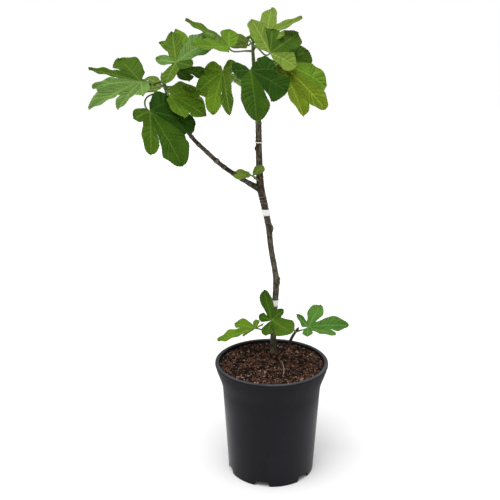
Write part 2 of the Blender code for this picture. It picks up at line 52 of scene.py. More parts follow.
# Pot, as in the source
POT_HEIGHT = 233.0
RIM_RADIUS = 112.5
RIM_WIDTH = 8.0
COLLAR_RADIUS = 97.5
COLLAR_HEIGHT = 56.0
FOOT_RADIUS = 86.5
WALL = 2.2
FLOOR_HEIGHT = 11.0
FLOOR_THICKNESS = 2.5
PAD_RADIUS = 40.0
PAD_SLOPE = 7.0
POT_STEPS = 160
NOTCHES = 6
FIRST_NOTCH_DEG = 257.0
NOTCH_HEIGHT = 10.5
NOTCH_TOP_WIDTH = 23.0
NOTCH_FOOT_WIDTH = 32.0
NOTCH_DEPTH = 16.0
SOIL_TOP = 229.0

# Trunk and bough: x, y, z, radius
TRUNK = (
    (4.0, 44.0, 226.0, 10.5),
    (4.0, 44.0, 231.5, 8.0),
    (4.0, 44.0, 238.0, 6.6),
    (5.0, 42.0, 300.0, 5.9),
    (9.0, 39.0, 384.0, 6.2),
    (6.0, 38.0, 411.0, 5.6),
    (-2.0, 37.0, 456.0, 5.4),
    (-7.0, 36.0, 500.0, 5.9),
    (-15.0, 34.0, 541.0, 6.7),
    (-23.0, 33.0, 581.0, 7.1),
    (-26.0, 32.0, 640.0, 6.1),
    (-28.0, 30.0, 715.0, 5.5),
    (-34.0, 27.0, 780.0, 4.3),
    (-36.0, 26.5, 806.0, 3.6),
)
BOUGH = (
    (-25.0, 33.0, 576.0, 5.6),
    (-41.0, 28.0, 585.0, 4.7),
    (-69.0, 20.0, 604.0, 4.5),
    (-98.0, 14.0, 626.0, 4.4),
    (-123.0, 9.0, 650.0, 4.1),
    (-149.0, 5.0, 677.0, 3.8),
    (-171.0, 2.0, 712.0, 3.5),
    (-187.0, 1.0, 744.0, 3.0),
)

# Swellings where old side shoots were cut away: height, compass turn, spread, how far they
# stand, and how pale their wear is, below zero how much darker
KNOTS = (
    (392.0, -20.0, 5.0, 3.2, -0.2),
    (383.5, -30.0, 4.5, 2.6, 0.1),
    (498.0, -15.0, 8.0, 4.0, 0.6),
    (491.0, -25.0, 4.0, 1.4, -0.4),
    (653.0, 185.0, 4.5, 3.2, -0.4),
    (432.0, 250.0, 7.0, 1.2, 0.3),
    (577.0, 200.0, 12.0, 1.6, -0.2),
)
# Rings that old leaf bases leave round the bark: height along the trunk, how far they stand
TRUNK_RINGS = (
    (258.0, 0.25), (283.0, 0.3), (311.0, 0.25), (362.0, 0.3), (371.0, 0.35), (379.0, 0.3),
    (402.0, 0.3), (426.0, 0.4), (441.0, 0.3), (468.0, 0.3), (484.0, 0.35), (508.0, 0.4),
    (516.0, 0.3), (541.0, 0.4), (548.0, 0.5), (553.5, 0.4), (560.0, 0.5), (598.0, 0.35),
    (612.0, 0.4), (634.0, 0.3), (671.0, 0.35), (686.0, 0.3), (702.0, 0.45), (721.0, 0.35),
    (738.0, 0.4), (752.0, 0.35), (764.0, 0.45), (775.0, 0.4), (786.0, 0.45), (796.0, 0.4),
)
# The same for the bough, by share of its length
BOUGH_RINGS = (
    (0.09, 0.3), (0.16, 0.4), (0.25, 0.3), (0.34, 0.35), (0.42, 0.5), (0.52, 0.3), (0.61, 0.35),
    (0.69, 0.3), (0.76, 0.4), (0.82, 0.35), (0.87, 0.4), (0.915, 0.35), (0.95, 0.4), (0.98, 0.3),
)

RING_RELIEF = 1.5

# Leaf rule, as in the source
STALK_RADIUS = 1.5
STALK_FOOT_RADIUS = 2.2
WIDEST_AT = 0.62
OUTER_SPREAD_DEG = 55.0
OUTER_CUT = 0.30
SINUS_SLACK = 0.96
RIB_EASE = 0.85
FOLD_ROUND = 6.0
LOBE_LIFT = 0.035
WAVE = 0.02
INNER_STEPS = 5
MARGIN_STEP = 1.7
ACROSS_STEPS = 7
BLADE_THICKNESS = 0.45
TIP_POINT = 0.35
TOOTH_LENGTH = 5.6
TOOTH_DEPTH = 0.9
RAGGED = 2.4
VEIN_SPACING = 8.0
VEIN_SLANT = 0.34
PUCKER = 0.9
RIB_GROOVE = 0.6
LOBE_CURL = 0.09
LOBE_ROLL = 0.20
MARGIN_WAVE = 1.8
FINISHES_PER_TONE = 3
VEIN_ROWS = 20.0

EVEN_BLADE = (
    (-98.0, 0.42, 0.16, 0.55),
    (-46.0, 0.82, 0.18, 0.50),
    (0.0, 1.00, 0.20, 0.50),
    (46.0, 0.82, 0.18, 0.55),
    (98.0, 0.42, 0.16, 0.0),
)

# Each mass as in the source, with the tone of each leaf, or of each of its lobes, in front
MASSES = {
    "bough_foliage": {
        "shoot": (
            (-187.15, 0.95, 744.3, 2.9),
            (-194.0, 0.0, 762.0, 2.7),
            (-199.0, 0.0, 777.0, 2.3),
            (-201.0, 0.0, 788.0, 1.2),
        ),
        "leaves": (
            (("mid", "mid", "bluish", "bluish", "bluish", "bluish"),
             0.55, (-26, -4, -12), (-238, -15, 781), (199, -16, -30), 20, 16, (
                (-78, 73, 25, 0.60), (-43, 103, 7, 0.44), (-24, 90, 9, 0.88),
                (4, 105, 19, 0.42), (40, 80, 13, 0.60), (77, 56, 14, 0.0))),
            ("pale", 0.60, (0, 6, 4), (-208, 22, 770), (180, 6, -23), 11, 4, (
                (-48, 40, 14, 0.60), (-3, 60, 18, 0.60), (52, 45, 14, 0.0))),
            (("bright", "mid", "bluish", "bright", "bluish"),
             0.80, (-2, -8, 14), (-172, -38, 816), (15, 30, 37), 20, 11, (
                (-143, 48, 15, 0.60), (-60, 36, 11, 0.80), (8, 90, 26, 0.40),
                (66, 66, 16, 0.50), (131, 38, 11, 0.0))),
            ("deep", 0.70, (6, 4, 6), (-174, 8, 801), (2, -6, 34), 20, 6, (
                (-50, 38, 15, 0.70), (0, 62, 16, 0.70), (50, 36, 12, 0.0))),
            ("fresh", 0.85, (8, 6, 12), (-153, 22, 821), (169, 46, -42), 17, 7, (
                (-67, 40, 13, 0.60), (-22, 60, 13, 0.50), (20, 60, 13, 0.60),
                (70, 44, 13, 0.0))),
            (("mid", "mid", "deep", "shaded", "shaded"),
             0.20, (-38, -22, 22), (-218, -58, 734), (327, -47, 22), 21, 3, (
                (-90, 35, 13, 0.80), (-32, 87, 17, 0.56), (0, 114, 30, 0.84),
                (52, 88, 28, 0.90), (96, 54, 26, 0.0))),
            ("fresh", 0.30, (4, -10, 6), (-186, -20, 757), (6, -23, 34), 20, 5, (
                (-48, 55, 17, 0.75), (0, 76, 22, 0.80), (50, 68, 22, 0.0))),
        ),
        "back": {"count": 3, "first": 60.0, "step": 34.0, "low": 0.35, "high": 0.7,
                 "length": 84.0, "rise": -12.0, "lift": -4.0, "seed": 4},
    },
    "top_foliage": {
        "shoot": (
            (-36.05, 26.5, 806.3, 3.5),
            (-37.5, 26.0, 825.0, 3.0),
            (-38.0, 26.0, 842.0, 2.4),
            (-37.0, 26.0, 853.0, 1.2),
        ),
        "leaves": (
            (("fresh", "bright", "fresh"),
             0.42, (-6, -6, 2), (-80, -8, 840), (184, 24, -26), 8, 7, (
                (-79, 50, 17, 0.50), (-19, 94, 10, 0.50), (41, 85, 16, 0.0))),
            ("pale", 0.85, (4, 2, 6), (-12, 34, 858), (40, 44, 13), 9, 6, (
                (-78, 38, 12, 0.60), (-36, 71, 12, 0.40), (32, 78, 16, 0.50),
                (90, 36, 14, 0.0))),
            (("pale", "mid", "mid", "pale"),
             0.70, (4, -10, 2), (-8, -16, 830), (48, 27, 47), 19, -3, (
                (-60, 54, 22, 0.75), (-3, 90, 23, 0.80), (32, 60, 22, 0.80),
                (62, 80, 20, 0.0))),
            ("pale", 0.75, (-2, 4, 4), (-47, 44, 842), (170, 19, 48), 18, 7, (
                (-28, 36, 8, 0.60), (38, 30, 9, 0.0))),
        ),
        "back": {"count": 2, "first": 60.0, "step": 50.0, "low": 0.4, "high": 0.6,
                 "length": 84.0, "rise": -2.0, "lift": 18.0, "seed": 9},
    },
    "right_foliage": {
        "shoot": (
            (-35.0, 27.0, 790.0, 3.4),
            (-28.0, 25.0, 794.0, 2.8),
        ),
        "leaves": (
            (("yellow", "yellow", "fresh", "mid"),
             0.9, (14, -4, 8), (11, 15, 812), (331, -36, 24), 18, 2, (
                (-23, 116, 18, 0.78), (2, 120, 20, 0.88), (31, 96, 26, 0.90),
                (83, 70, 26, 0.0))),
        ),
        "back": {"count": 1, "first": 40.0, "step": 0.0, "low": 0.9, "high": 0.9,
                 "length": 84.0, "rise": -22.0, "lift": 18.0, "seed": 2},
    },
    "front_foliage": {
        "shoot": (
            (-34.0, 27.0, 779.0, 3.4),
            (-35.0, 19.5, 783.0, 2.8),
        ),
        "leaves": (
            (("shaded", "deep", "shaded", "shaded"),
             0.9, (-4, -14, 12), (-43, -48, 803), (326, -49, 24), 23, 12, (
                (-107, 36, 17, 0.90), (-26, 99, 29, 0.56), (36, 76, 37, 0.97),
                (70, 50, 25, 0.0))),
        ),
    },
    "left_foliage": {
        "shoot": (
            (-33.0, 28.0, 765.0, 3.4),
            (-40.0, 27.0, 769.0, 2.8),
        ),
        "leaves": (
            (("fresh", "fresh", "fresh", "bright", "bright"),
             0.9, (-10, -6, 14), (-91, -20, 799), (250, -66, 4), 18, 7, (
                (-100, 36, 14, 0.80), (-51, 60, 18, 0.80), (-11, 78, 20, 0.45),
                (17, 84, 12, 0.60), (122, 28, 13, 0.0))),
        ),
        "back": {"count": 1, "first": 125.0, "step": 0.0, "low": 0.9, "high": 0.9,
                 "length": 84.0, "rise": -16.0, "lift": 14.0, "seed": 5},
    },
    "fork_sprout": {
        "shoot": (
            (-24.0, 33.0, 590.0, 2.6),
            (-33.0, 20.0, 598.0, 1.8),
        ),
        "leaves": (
            ("pale", 0.95, (-2, -2, 2), (-40, 12, 606), (182, 4, -30), 14, 8,
             ((0, 36, 15, 0.0),)),
            ("pale", 0.95, (2, -2, 4), (-38, 11, 606), (17, 42, 24), 14, 8,
             ((0, 27, 14, 0.0),)),
        ),
    },
    "left_basal_shoot": {
        "shoot": (
            (4.5, 43.0, 272.0, 2.6),
            (-9.0, 43.0, 278.0, 2.0),
        ),
        "leaves": (
            ("fresh", 0.95, (-6, 0, 3), (-33, 44, 285), (185, -28, 4), 2, 18, (
                (-111, 23, 9, 0.60), (-54, 61, 14, 0.40), (-20, 89, 14, 0.45),
                (51, 40, 10, 0.50), (129, 31, 9, 0.0))),
        ),
    },
    "right_basal_shoot": {
        "shoot": (
            (41.0, 90.0, 227.0, 3.6),
            (41.0, 90.0, 231.5, 3.4),
            (41.0, 90.0, 235.0, 3.2),
            (47.0, 89.0, 249.0, 3.0),
            (55.0, 88.0, 262.0, 2.2),
        ),
        "leaves": (
            (("deep", "mid", "deep", "deep", "deep"),
             0.95, (2, -30, 26), (-1, -24, 329), (8, 26, 29), 13, 9, (
                (-129, 37, 14, 0.70), (-66, 59, 21, 0.60), (20, 31, 9, 0.60),
                (81, 74, 12, 0.50), (132, 28, 10, 0.0))),
            ("leafy", 0.95, (6, -2, 3), (78, 80, 272), (6, 9, 22), 18, 13, (
                (-106, 32, 11, 0.50), (-38, 63, 12, 0.40), (-3, 86, 21, 0.30),
                (55, 66, 16, 0.35), (112, 42, 6, 0.0))),
        ),
    },
}
BACK_TONES = ("bright", "mid", "fresh")

# Upper side, veins and underside of a leaf, by tone. The tones hold each lobe's light as well as its
# green:
# shaded is painted shade, deep is a dark green that is partly painted shade, the bluish tone is
# green with a painted sheen from the bright surroundings, which gives its blue, and pale is partly
# paler undersides and young leaves, partly painted light through leaves lit from behind
LEAF_TONES = {
    "shaded": ((0.018, 0.062, 0.003), (0.055, 0.120, 0.010), (0.090, 0.150, 0.022)),
    "deep": ((0.038, 0.098, 0.004), (0.095, 0.180, 0.018), (0.100, 0.170, 0.025)),
    "mid": ((0.053, 0.118, 0.006), (0.130, 0.220, 0.024), (0.110, 0.185, 0.028)),
    "bright": ((0.092, 0.172, 0.012), (0.190, 0.295, 0.038), (0.130, 0.210, 0.030)),
    "leafy": ((0.082, 0.222, 0.030), (0.185, 0.340, 0.060), (0.140, 0.250, 0.045)),
    "bluish": ((0.135, 0.258, 0.050), (0.250, 0.375, 0.090), (0.150, 0.240, 0.050)),
    "fresh": ((0.126, 0.252, 0.012), (0.240, 0.375, 0.040), (0.150, 0.250, 0.030)),
    "yellow": ((0.140, 0.218, 0.006), (0.310, 0.400, 0.045), (0.180, 0.260, 0.030)),
    "pale": ((0.165, 0.262, 0.028), (0.320, 0.420, 0.085), (0.175, 0.260, 0.040)),
}


# ---------------------------------------------------------------- materials
class Finish:
    """A material under way: its node tree, its shader and short ways to add to them."""

    def __init__(self, name, roughness, **uniform):
        self.material = bpy.data.materials.new(name)
        self.material.use_nodes = True
        self.tree = self.material.node_tree
        self.shader = self.tree.nodes["Principled BSDF"]
        self.shader.inputs["Roughness"].default_value = roughness
        for key, value in uniform.items():
            self.shader.inputs[key.replace("_", " ")].default_value = value
        self.place = None

    def node(self, kind, links=None, **settings):
        made = self.tree.nodes.new(kind)
        for key, value in settings.items():
            setattr(made, key, value)
        for key, source in (links or {}).items():
            if isinstance(source, (int, float, tuple)):
                made.inputs[key].default_value = source
            else:
                self.tree.links.new(source, made.inputs[key])
        return made

    def object_place(self):
        if self.place is None:
            self.place = self.node("ShaderNodeTexCoord").outputs["Object"]
        return self.place

    def stretched(self, scale):
        return self.node("ShaderNodeMapping", {0: self.object_place(), 3: scale}).outputs[0]

    def math(self, operation, a, b=0.0, clamp=False):
        return self.node("ShaderNodeMath", {0: a, 1: b}, operation=operation,
                         use_clamp=clamp).outputs[0]

    def grain(self, scale, detail=3.0, rough=0.55, place=None):
        made = self.node("ShaderNodeTexNoise", {"Vector": place or self.object_place()})
        made.inputs["Scale"].default_value = scale
        made.inputs["Detail"].default_value = detail
        made.inputs["Roughness"].default_value = rough
        return made.outputs["Fac"]

    def span(self, value, low, high, to_low=0.0, to_high=1.0):
        return self.node("ShaderNodeMapRange", {0: value, 1: low, 2: high, 3: to_low, 4: to_high},
                         interpolation_type="SMOOTHSTEP").outputs[0]

    def blend(self, share, first, second):
        made = self.node("ShaderNodeMix", data_type="RGBA")
        for socket, source in ((0, share), (6, first), (7, second)):
            if isinstance(source, tuple):
                made.inputs[socket].default_value = (*source, 1.0)
            elif isinstance(source, float):
                made.inputs[socket].default_value = source
            else:
                self.tree.links.new(source, made.inputs[socket])
        return made.outputs[2]

    def ramp(self, value, stops):
        made = self.node("ShaderNodeValToRGB", {0: value})
        row = made.color_ramp
        while len(row.elements) < len(stops):
            row.elements.new(0.5)
        for element, (at, colour) in zip(row.elements, stops):
            element.position = at
            element.color = (*colour, 1.0)
        return made.outputs[0]

    def put(self, socket, source):
        self.tree.links.new(source, self.shader.inputs[socket])

    def relief(self, height, distance, strength=1.0):
        bump = self.node("ShaderNodeBump", {"Height": height})
        bump.inputs["Strength"].default_value = strength
        bump.inputs["Distance"].default_value = distance
        if self.shader.inputs["Normal"].links:
            before = self.shader.inputs["Normal"].links[0].from_socket
            self.tree.links.new(before, bump.inputs["Normal"])
        self.put("Normal", bump.outputs[0])


def leaf_finish(name, blade, vein, under):
    """A blade quilted between its side veins, drifting from shaded to sunlit, with a fine net."""
    made = Finish(name, 0.6, Specular_IOR_Level=0.03 if under else 0.06)
    rows = made.node("ShaderNodeSeparateXYZ",
                     {0: made.node("ShaderNodeUVMap", uv_map="Veins").outputs[0]})
    light = made.node("ShaderNodeSeparateXYZ",
                      {0: made.node("ShaderNodeUVMap", uv_map="Light").outputs[0]})
    wander = made.math("MULTIPLY", made.math("SUBTRACT", made.grain(120.0, 2.0), 0.5), 0.45)
    count = made.math("ADD", made.math("MULTIPLY", rows.outputs[0], VEIN_ROWS), wander)
    apart = made.math("PINGPONG", count, 0.5)
    side_vein = made.span(apart, 0.02, 0.09, 0.42, 0.0)
    rib = made.span(rows.outputs[1], 0.006, 0.020, 0.5, 0.0)
    net = made.node("ShaderNodeTexVoronoi", {"Vector": made.object_place()},
                    feature="DISTANCE_TO_EDGE")
    net.inputs["Scale"].default_value = 380.0
    mesh = made.span(net.outputs["Distance"], 0.0, 0.14, 1.0, 0.0)
    mottle = made.math("MULTIPLY", made.math("SUBTRACT", made.grain(38.0, 5.0, 0.6), 0.5), 1.5)
    sun = made.math("ADD", light.outputs[0], mottle, clamp=True)
    shaded = (blade[0] * 0.56, blade[1] * 0.66, blade[2] * 0.70)
    sunlit = (blade[0] * 1.34, blade[1] * 1.24, blade[2] * 1.36)
    base = made.blend(sun, shaded, sunlit)
    # painted shade in the grooves beside each side vein: there the colour turns towards the shaded
    # copy
    base = made.blend(made.span(apart, 0.05, 0.30, 0.30, 0.0), base, shaded)
    base = made.blend(made.math("MULTIPLY", mesh, 0.32 if under else 0.18), base, vein)
    made.put("Base Color", made.blend(made.math("MAXIMUM", side_vein, rib), base, vein))
    made.put("Roughness", made.span(made.grain(240.0, 2.0), 0.3, 0.7,
                                    0.6 if under else 0.42, 0.8 if under else 0.6))
    quilt = made.span(apart, 0.0, 0.40)
    made.relief(quilt, -0.0012 if under else 0.0014, 0.8)
    made.relief(mesh, 0.0002 if under else -0.0002, 0.8)
    made.relief(made.grain(160.0, 3.0), 0.0004, 0.5)
    return made.material


def vein_finish(name, vein):
    """The raised ribs and side veins: smooth and pale, with a faint drift of tone."""
    made = Finish(name, 0.5, Specular_IOR_Level=0.12)
    drift = made.span(made.grain(90.0, 3.0), 0.35, 0.65)
    made.put("Base Color", made.blend(drift, vein, tuple(part * 1.25 for part in vein)))
    made.relief(made.grain(700.0, 2.0), 0.00015, 0.4)
    return made.material


def leaf_finishes():
    """The upper, under and vein finish of every tone."""
    found = {}
    for tone, (blade, vein, under) in LEAF_TONES.items():
        under_vein = tuple(min(1.0, part * 1.45 + 0.03) for part in under)
        found[tone] = (
            leaf_finish(f"{tone}_fig_leaf", blade, vein, False),
            leaf_finish(f"{tone}_fig_leaf_underside", under, under_vein, True),
            vein_finish(f"{tone}_fig_leaf_veins", vein),
        )
    return found


def bark_finish(name, stops, low, high):
    """Bark coloured by height: pale with wear where it stands out, darker at some knots, painted
    shade in the grooves beside the rings, and dark fine cracks.
    """
    made = Finish(name, 0.8, Specular_IOR_Level=0.12)
    height = made.node("ShaderNodeSeparateXYZ", {0: made.object_place()}).outputs[2]
    drift = made.math("MULTIPLY", made.math("SUBTRACT", made.grain(30.0), 0.5), 0.03)
    tone = made.ramp(made.span(made.math("ADD", height, drift), low * MM, high * MM), stops)
    streak = made.grain(420.0, 4.0, 0.65, made.stretched((1.0, 1.0, 0.28)))
    patch = made.grain(95.0, 3.0, 0.6, made.stretched((1.0, 1.0, 0.5)))
    base = made.blend(made.span(patch, 0.42, 0.62, 0.0, 0.75), tone, (0.150, 0.132, 0.095))
    base = made.blend(made.span(streak, 0.45, 0.60, 0.0, 0.8), base, (0.012, 0.009, 0.006))
    pale_and_painted_light = made.node("ShaderNodeAttribute", attribute_name="WearAndPaintedShade").outputs["Fac"]
    base = made.blend(made.span(pale_and_painted_light, 0.15, 0.75, 0.0, 0.55), base, (0.210, 0.185, 0.135))
    # painted shade: below zero, in the grooves beside the rings, the bark is darkened; knots given
    # below zero darken the same way
    base = made.blend(made.span(pale_and_painted_light, -0.35, -0.05, 0.7, 0.0), base, (0.010, 0.008, 0.006))
    specks = made.node("ShaderNodeTexVoronoi", {"Vector": made.stretched((1.0, 1.0, 1.6))})
    specks.inputs["Scale"].default_value = 210.0
    speck = made.span(specks.outputs["Distance"], 0.12, 0.26, 1.0, 0.0)
    made.put("Base Color", made.blend(made.math("MULTIPLY", speck, 0.6), base,
                                      (0.260, 0.225, 0.170)))
    made.put("Roughness", made.span(streak, 0.3, 0.7, 0.62, 0.9))
    made.relief(streak, 0.0007, 0.8)
    made.relief(speck, 0.0005, 0.8)
    return made.material


def green_stem_finish(name, light, dark):
    """Soft young stem: a drift between two greens, with faint lengthwise streaks."""
    made = Finish(name, 0.5, Specular_IOR_Level=0.4)
    streak = made.grain(300.0, 3.0, 0.6, made.stretched((1.0, 1.0, 0.35)))
    made.put("Base Color", made.blend(made.span(streak, 0.38, 0.66), light, dark))
    made.put("Roughness", made.span(made.grain(500.0), 0.3, 0.7, 0.42, 0.62))
    made.relief(streak, 0.0003, 0.5)
    return made.material


def plastic_finish():
    """Black moulded plastic: a fine grain, dusty streaks from watering and a painted highlight along
    the rim's top edge.
    """
    made = Finish("black_pot_plastic", 0.42, Specular_IOR_Level=0.145)
    dust = made.grain(9.0, 6.0, 0.65, made.stretched((1.0, 1.0, 0.35)))
    fine = made.grain(160.0, 4.0, 0.7)
    base = made.blend(made.span(dust, 0.42, 0.72, 0.0, 0.75), (0.0038, 0.0038, 0.0068),
                      (0.0080, 0.0078, 0.0120))
    base = made.blend(made.span(fine, 0.58, 0.72, 0.0, 0.3), base, (0.030, 0.028, 0.028))
    height = made.node("ShaderNodeSeparateXYZ", {0: made.object_place()}).outputs[2]
    # painted highlight: the top edge of the rim is lightened, unevenly with the dust streaks
    pale_and_painted_light = made.math("MULTIPLY", made.span(height, 0.2312, 0.2328, 0.0, 1.0),
                     made.span(dust, 0.35, 0.6, 0.35, 0.9))
    made.put("Base Color", made.blend(pale_and_painted_light, base, (0.075, 0.075, 0.082)))
    gloss = made.span(made.math("ADD", dust, made.math("MULTIPLY", fine, 0.4)),
                      0.5, 0.95, 0.27, 0.44)
    made.put("Roughness", made.math("ADD", gloss, made.span(height, 0.120, 0.215, 0.0, 0.28)))
    made.relief(made.grain(900.0, 2.0), 0.00012, 0.5)
    made.relief(made.grain(26.0, 2.0), 0.0006, 0.35)
    return made.material


def compost_finish(name, dark, light, scale):
    made = Finish(name, 0.95, Specular_IOR_Level=0.15)
    crumb = made.grain(scale, 5.0, 0.7)
    made.put("Base Color", made.blend(made.span(crumb, 0.38, 0.66), dark, light))
    made.put("Roughness", made.span(crumb, 0.3, 0.7, 0.82, 1.0))
    made.relief(crumb, 0.0015, 0.9)
    made.relief(made.grain(scale * 4.0, 3.0), 0.0005, 0.7)
    return made.material


def film_finish():
    """White grafting film: slightly glossy, with fine stretch wrinkles and grey handling marks."""
    made = Finish("white_grafting_film", 0.35, Specular_IOR_Level=0.5)
    wrinkle = made.grain(420.0, 3.0, 0.6, made.stretched((0.5, 0.5, 2.2)))
    mark = made.grain(140.0, 4.0, 0.6)
    made.put("Base Color", made.blend(made.span(mark, 0.5, 0.75, 0.0, 0.6),
                                      (0.84, 0.84, 0.82), (0.50, 0.48, 0.43)))
    made.put("Roughness", made.span(mark, 0.3, 0.7, 0.28, 0.5))
    made.relief(wrinkle, 0.0004, 0.6)
    return made.material


# ---------------------------------------------------------------- pieces
def placed(name, mesh, node, slot, *finishes, smooth=True):
    """Adds a finished mesh as the piece that stands for a solid."""
    piece = bpy.data.objects.new(name, mesh)
    bpy.context.scene.collection.objects.link(piece)
    for finish in finishes:
        mesh.materials.append(finish)
    for polygon in mesh.polygons:
        polygon.use_smooth = smooth
    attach(piece, "root")
    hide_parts(node)
    return piece


def to_mesh(name, shape, weld=True, outward=True):
    """Closes doubles, turns every face outwards and gives the mesh."""
    if weld:
        bmesh.ops.remove_doubles(shape, verts=shape.verts, dist=WELD)
    if outward:
        bmesh.ops.recalc_face_normals(shape, faces=shape.faces)
    mesh = bpy.data.meshes.new(name)
    shape.to_mesh(mesh)
    shape.free()
    return mesh


def joined(name, meshes):
    """One mesh from several, each keeping its own material numbers."""
    shape = bmesh.new()
    for mesh in meshes:
        shape.from_mesh(mesh)
        bpy.data.meshes.remove(mesh)
    mesh = bpy.data.meshes.new(name)
    shape.to_mesh(mesh)
    shape.free()
    return mesh


def smooth_route(stations, per_span):
    """Points on a smooth curve through the stations, each with its blended radius."""
    rows = [Vector(station) for station in stations]
    spans = [(end.xyz - start.xyz).length for start, end in zip(rows, rows[1:])]
    slopes = []
    for index in range(len(rows)):
        low, high = max(index - 1, 0), min(index + 1, len(rows) - 1)
        slopes.append((rows[high] - rows[low]) / sum(spans[low:high]))
    points = []
    for start, end, span, leave, arrive in zip(rows, rows[1:], spans, slopes, slopes[1:]):
        for step in range(per_span):
            t = step / per_span
            points.append(start * (1 + 2 * t) * (1 - t) ** 2 + leave * span * t * (1 - t) ** 2
                          + end * t * t * (3 - 2 * t) - arrive * span * t * t * (1 - t))
    points.append(rows[-1])
    return points


def even_route(points, spacing):
    """The same line with points an even distance apart."""
    lengths = [0.0]
    for start, end in zip(points, points[1:]):
        lengths.append(lengths[-1] + (end.xyz - start.xyz).length)
    count = max(2, round(lengths[-1] / spacing))
    found = []
    index = 0
    for step in range(count + 1):
        at = lengths[-1] * step / count
        while index < len(points) - 2 and lengths[index + 1] < at:
            index += 1
        share = (at - lengths[index]) / max(lengths[index + 1] - lengths[index], 1e-9)
        found.append(points[index].lerp(points[index + 1], min(share, 1.0)))
    return found


def along_route(points):
    """The direction of the line at each point, with two steady directions across it."""
    frames = []
    side = Vector((0.0, 1.0, 0.0))
    for index, point in enumerate(points):
        ahead = points[min(index + 1, len(points) - 1)].xyz
        behind = points[max(index - 1, 0)].xyz
        way = (ahead - behind).normalized()
        side = (side - way * side.dot(way)).normalized()
        frames.append((point, way, side, way.cross(side)))
    return frames


def add_tube(shape, points, sides, swell=None, cap=True):
    """A round skin along the points. swell says how far it stands out and how pale its wear is;
    values below zero darken it: painted shade in the grooves beside the rings, and darker knots.
    """
    pale_and_painted_light = shape.verts.layers.float.get("WearAndPaintedShade") or shape.verts.layers.float.new("WearAndPaintedShade")
    frames = along_route(points)
    made = bmesh.ops.create_grid(shape, x_segments=sides, y_segments=len(points) - 1, size=1.0)
    for vert in made["verts"]:
        column = round((vert.co.x + 1) / 2 * sides) % sides
        row = round((vert.co.y + 1) / 2 * (len(points) - 1))
        point, _, right, front = frames[row]
        turn = 2 * math.pi * column / sides
        out = right * math.cos(turn) + front * math.sin(turn)
        radius = point.w
        if swell:
            rise, vert[pale_and_painted_light] = swell(point.xyz + out * point.w, out, row / (len(points) - 1))
            radius += rise
        vert.co = (point.xyz + out * radius) * MM
    bmesh.ops.remove_doubles(shape, verts=made["verts"], dist=WELD)
    if cap:
        rim = [edge for edge in shape.edges if edge.is_boundary]
        bmesh.ops.holes_fill(shape, edges=rim, sides=0)


def ring_swell(rings, at):
    """How far the nearest rings of old leaf bases stand out at a place."""
    out = 0.0
    for centre, height in rings:
        apart = (at - centre) / 1.3
        if abs(apart) < 3.0:
            out += RING_RELIEF * height * math.exp(-apart * apart)
            # a groove beside each ring, which the bark darkens as painted shade
            out -= RING_RELIEF * height * 0.4 * math.exp(-(abs(apart) - 1.8) ** 2 * 2.0)
    return out


def trunk_swell(spot, out, _):
    height = spot.z
    tilt = 1.2 * out.x + 2.6 * noise.noise(spot * 0.09)
    pale_and_painted_light = ring_swell(TRUNK_RINGS, height + tilt)
    rise = pale_and_painted_light + 0.35 * noise.noise(spot * 0.22) + 0.16 * noise.noise(spot * 0.8)
    for at, turn, spread, stand, pale in KNOTS:
        way = Vector((math.cos(math.radians(turn)), math.sin(math.radians(turn)), 0.0))
        near = max(0.0, out.dot(way)) ** 3
        apart = (height - at) / spread
        bump = near * math.exp(-apart * apart * 2.0)
        rise += stand * bump
        pale_and_painted_light += pale * bump
        rise -= 0.9 * max(0.0, out.dot(way)) ** 24 * math.exp(-((height - at) / 1.6) ** 2)
    if height < 262.0:
        flute = math.cos(3.0 * math.atan2(out.y, out.x) + 0.6)
        rise += 0.9 * flute * (262.0 - height) / 35.0
    return rise, pale_and_painted_light


def bough_swell(spot, out, share):
    pale_and_painted_light = ring_swell([(at * 100, stand) for at, stand in BOUGH_RINGS],
                      share * 100 + 0.25 * out.z)
    rise = pale_and_painted_light + 0.25 * noise.noise(spot * 0.25) + 0.12 * noise.noise(spot * 0.9)
    collar = max(0.0, 1.0 - share / 0.16)
    bump = max(0.0, out.z) ** 3 * math.exp(-((share - 0.42) / 0.014) ** 2)
    return rise + 2.2 * collar * collar + 1.8 * bump, pale_and_painted_light + 0.7 * bump


def build_limbs():
    low, high = TRUNK[0][2], TRUNK[-1][2]
    bark = bark_finish("grey_brown_bark", (
        (0.0, (0.044, 0.046, 0.022)), (0.30, (0.052, 0.046, 0.032)),
        (0.50, (0.052, 0.044, 0.030)), (0.66, (0.058, 0.036, 0.022)),
        (0.90, (0.062, 0.048, 0.022)), (0.96, (0.085, 0.115, 0.014)),
        (1.0, (0.100, 0.150, 0.012))), low, high)
    shape = bmesh.new()
    route = even_route(smooth_route(TRUNK, 12), 1.4)
    add_tube(shape, route, 40, trunk_swell)
    placed("trunk_bark", to_mesh("trunk_bark", shape), "trunk", "trunk_bark", bark)
    young = bark_finish("red_brown_bark", (
        (0.0, (0.034, 0.028, 0.019)), (0.35, (0.042, 0.032, 0.022)),
        (0.7, (0.046, 0.036, 0.023)), (1.0, (0.060, 0.060, 0.026))), 576.0, 744.0)
    shape = bmesh.new()
    route = even_route(smooth_route(BOUGH, 12), 1.4)
    add_tube(shape, route, 32, bough_swell)
    placed("bough_bark", to_mesh("bough_bark", shape), "left_bough", "bough_bark", young)


def trunk_at(height):
    """The trunk's middle and radius at a height."""
    points = smooth_route(TRUNK, 12)
    for start, end in zip(points, points[1:]):
        if start.z <= height <= end.z:
            return start.lerp(end, (height - start.z) / (end.z - start.z))
    return points[-1]


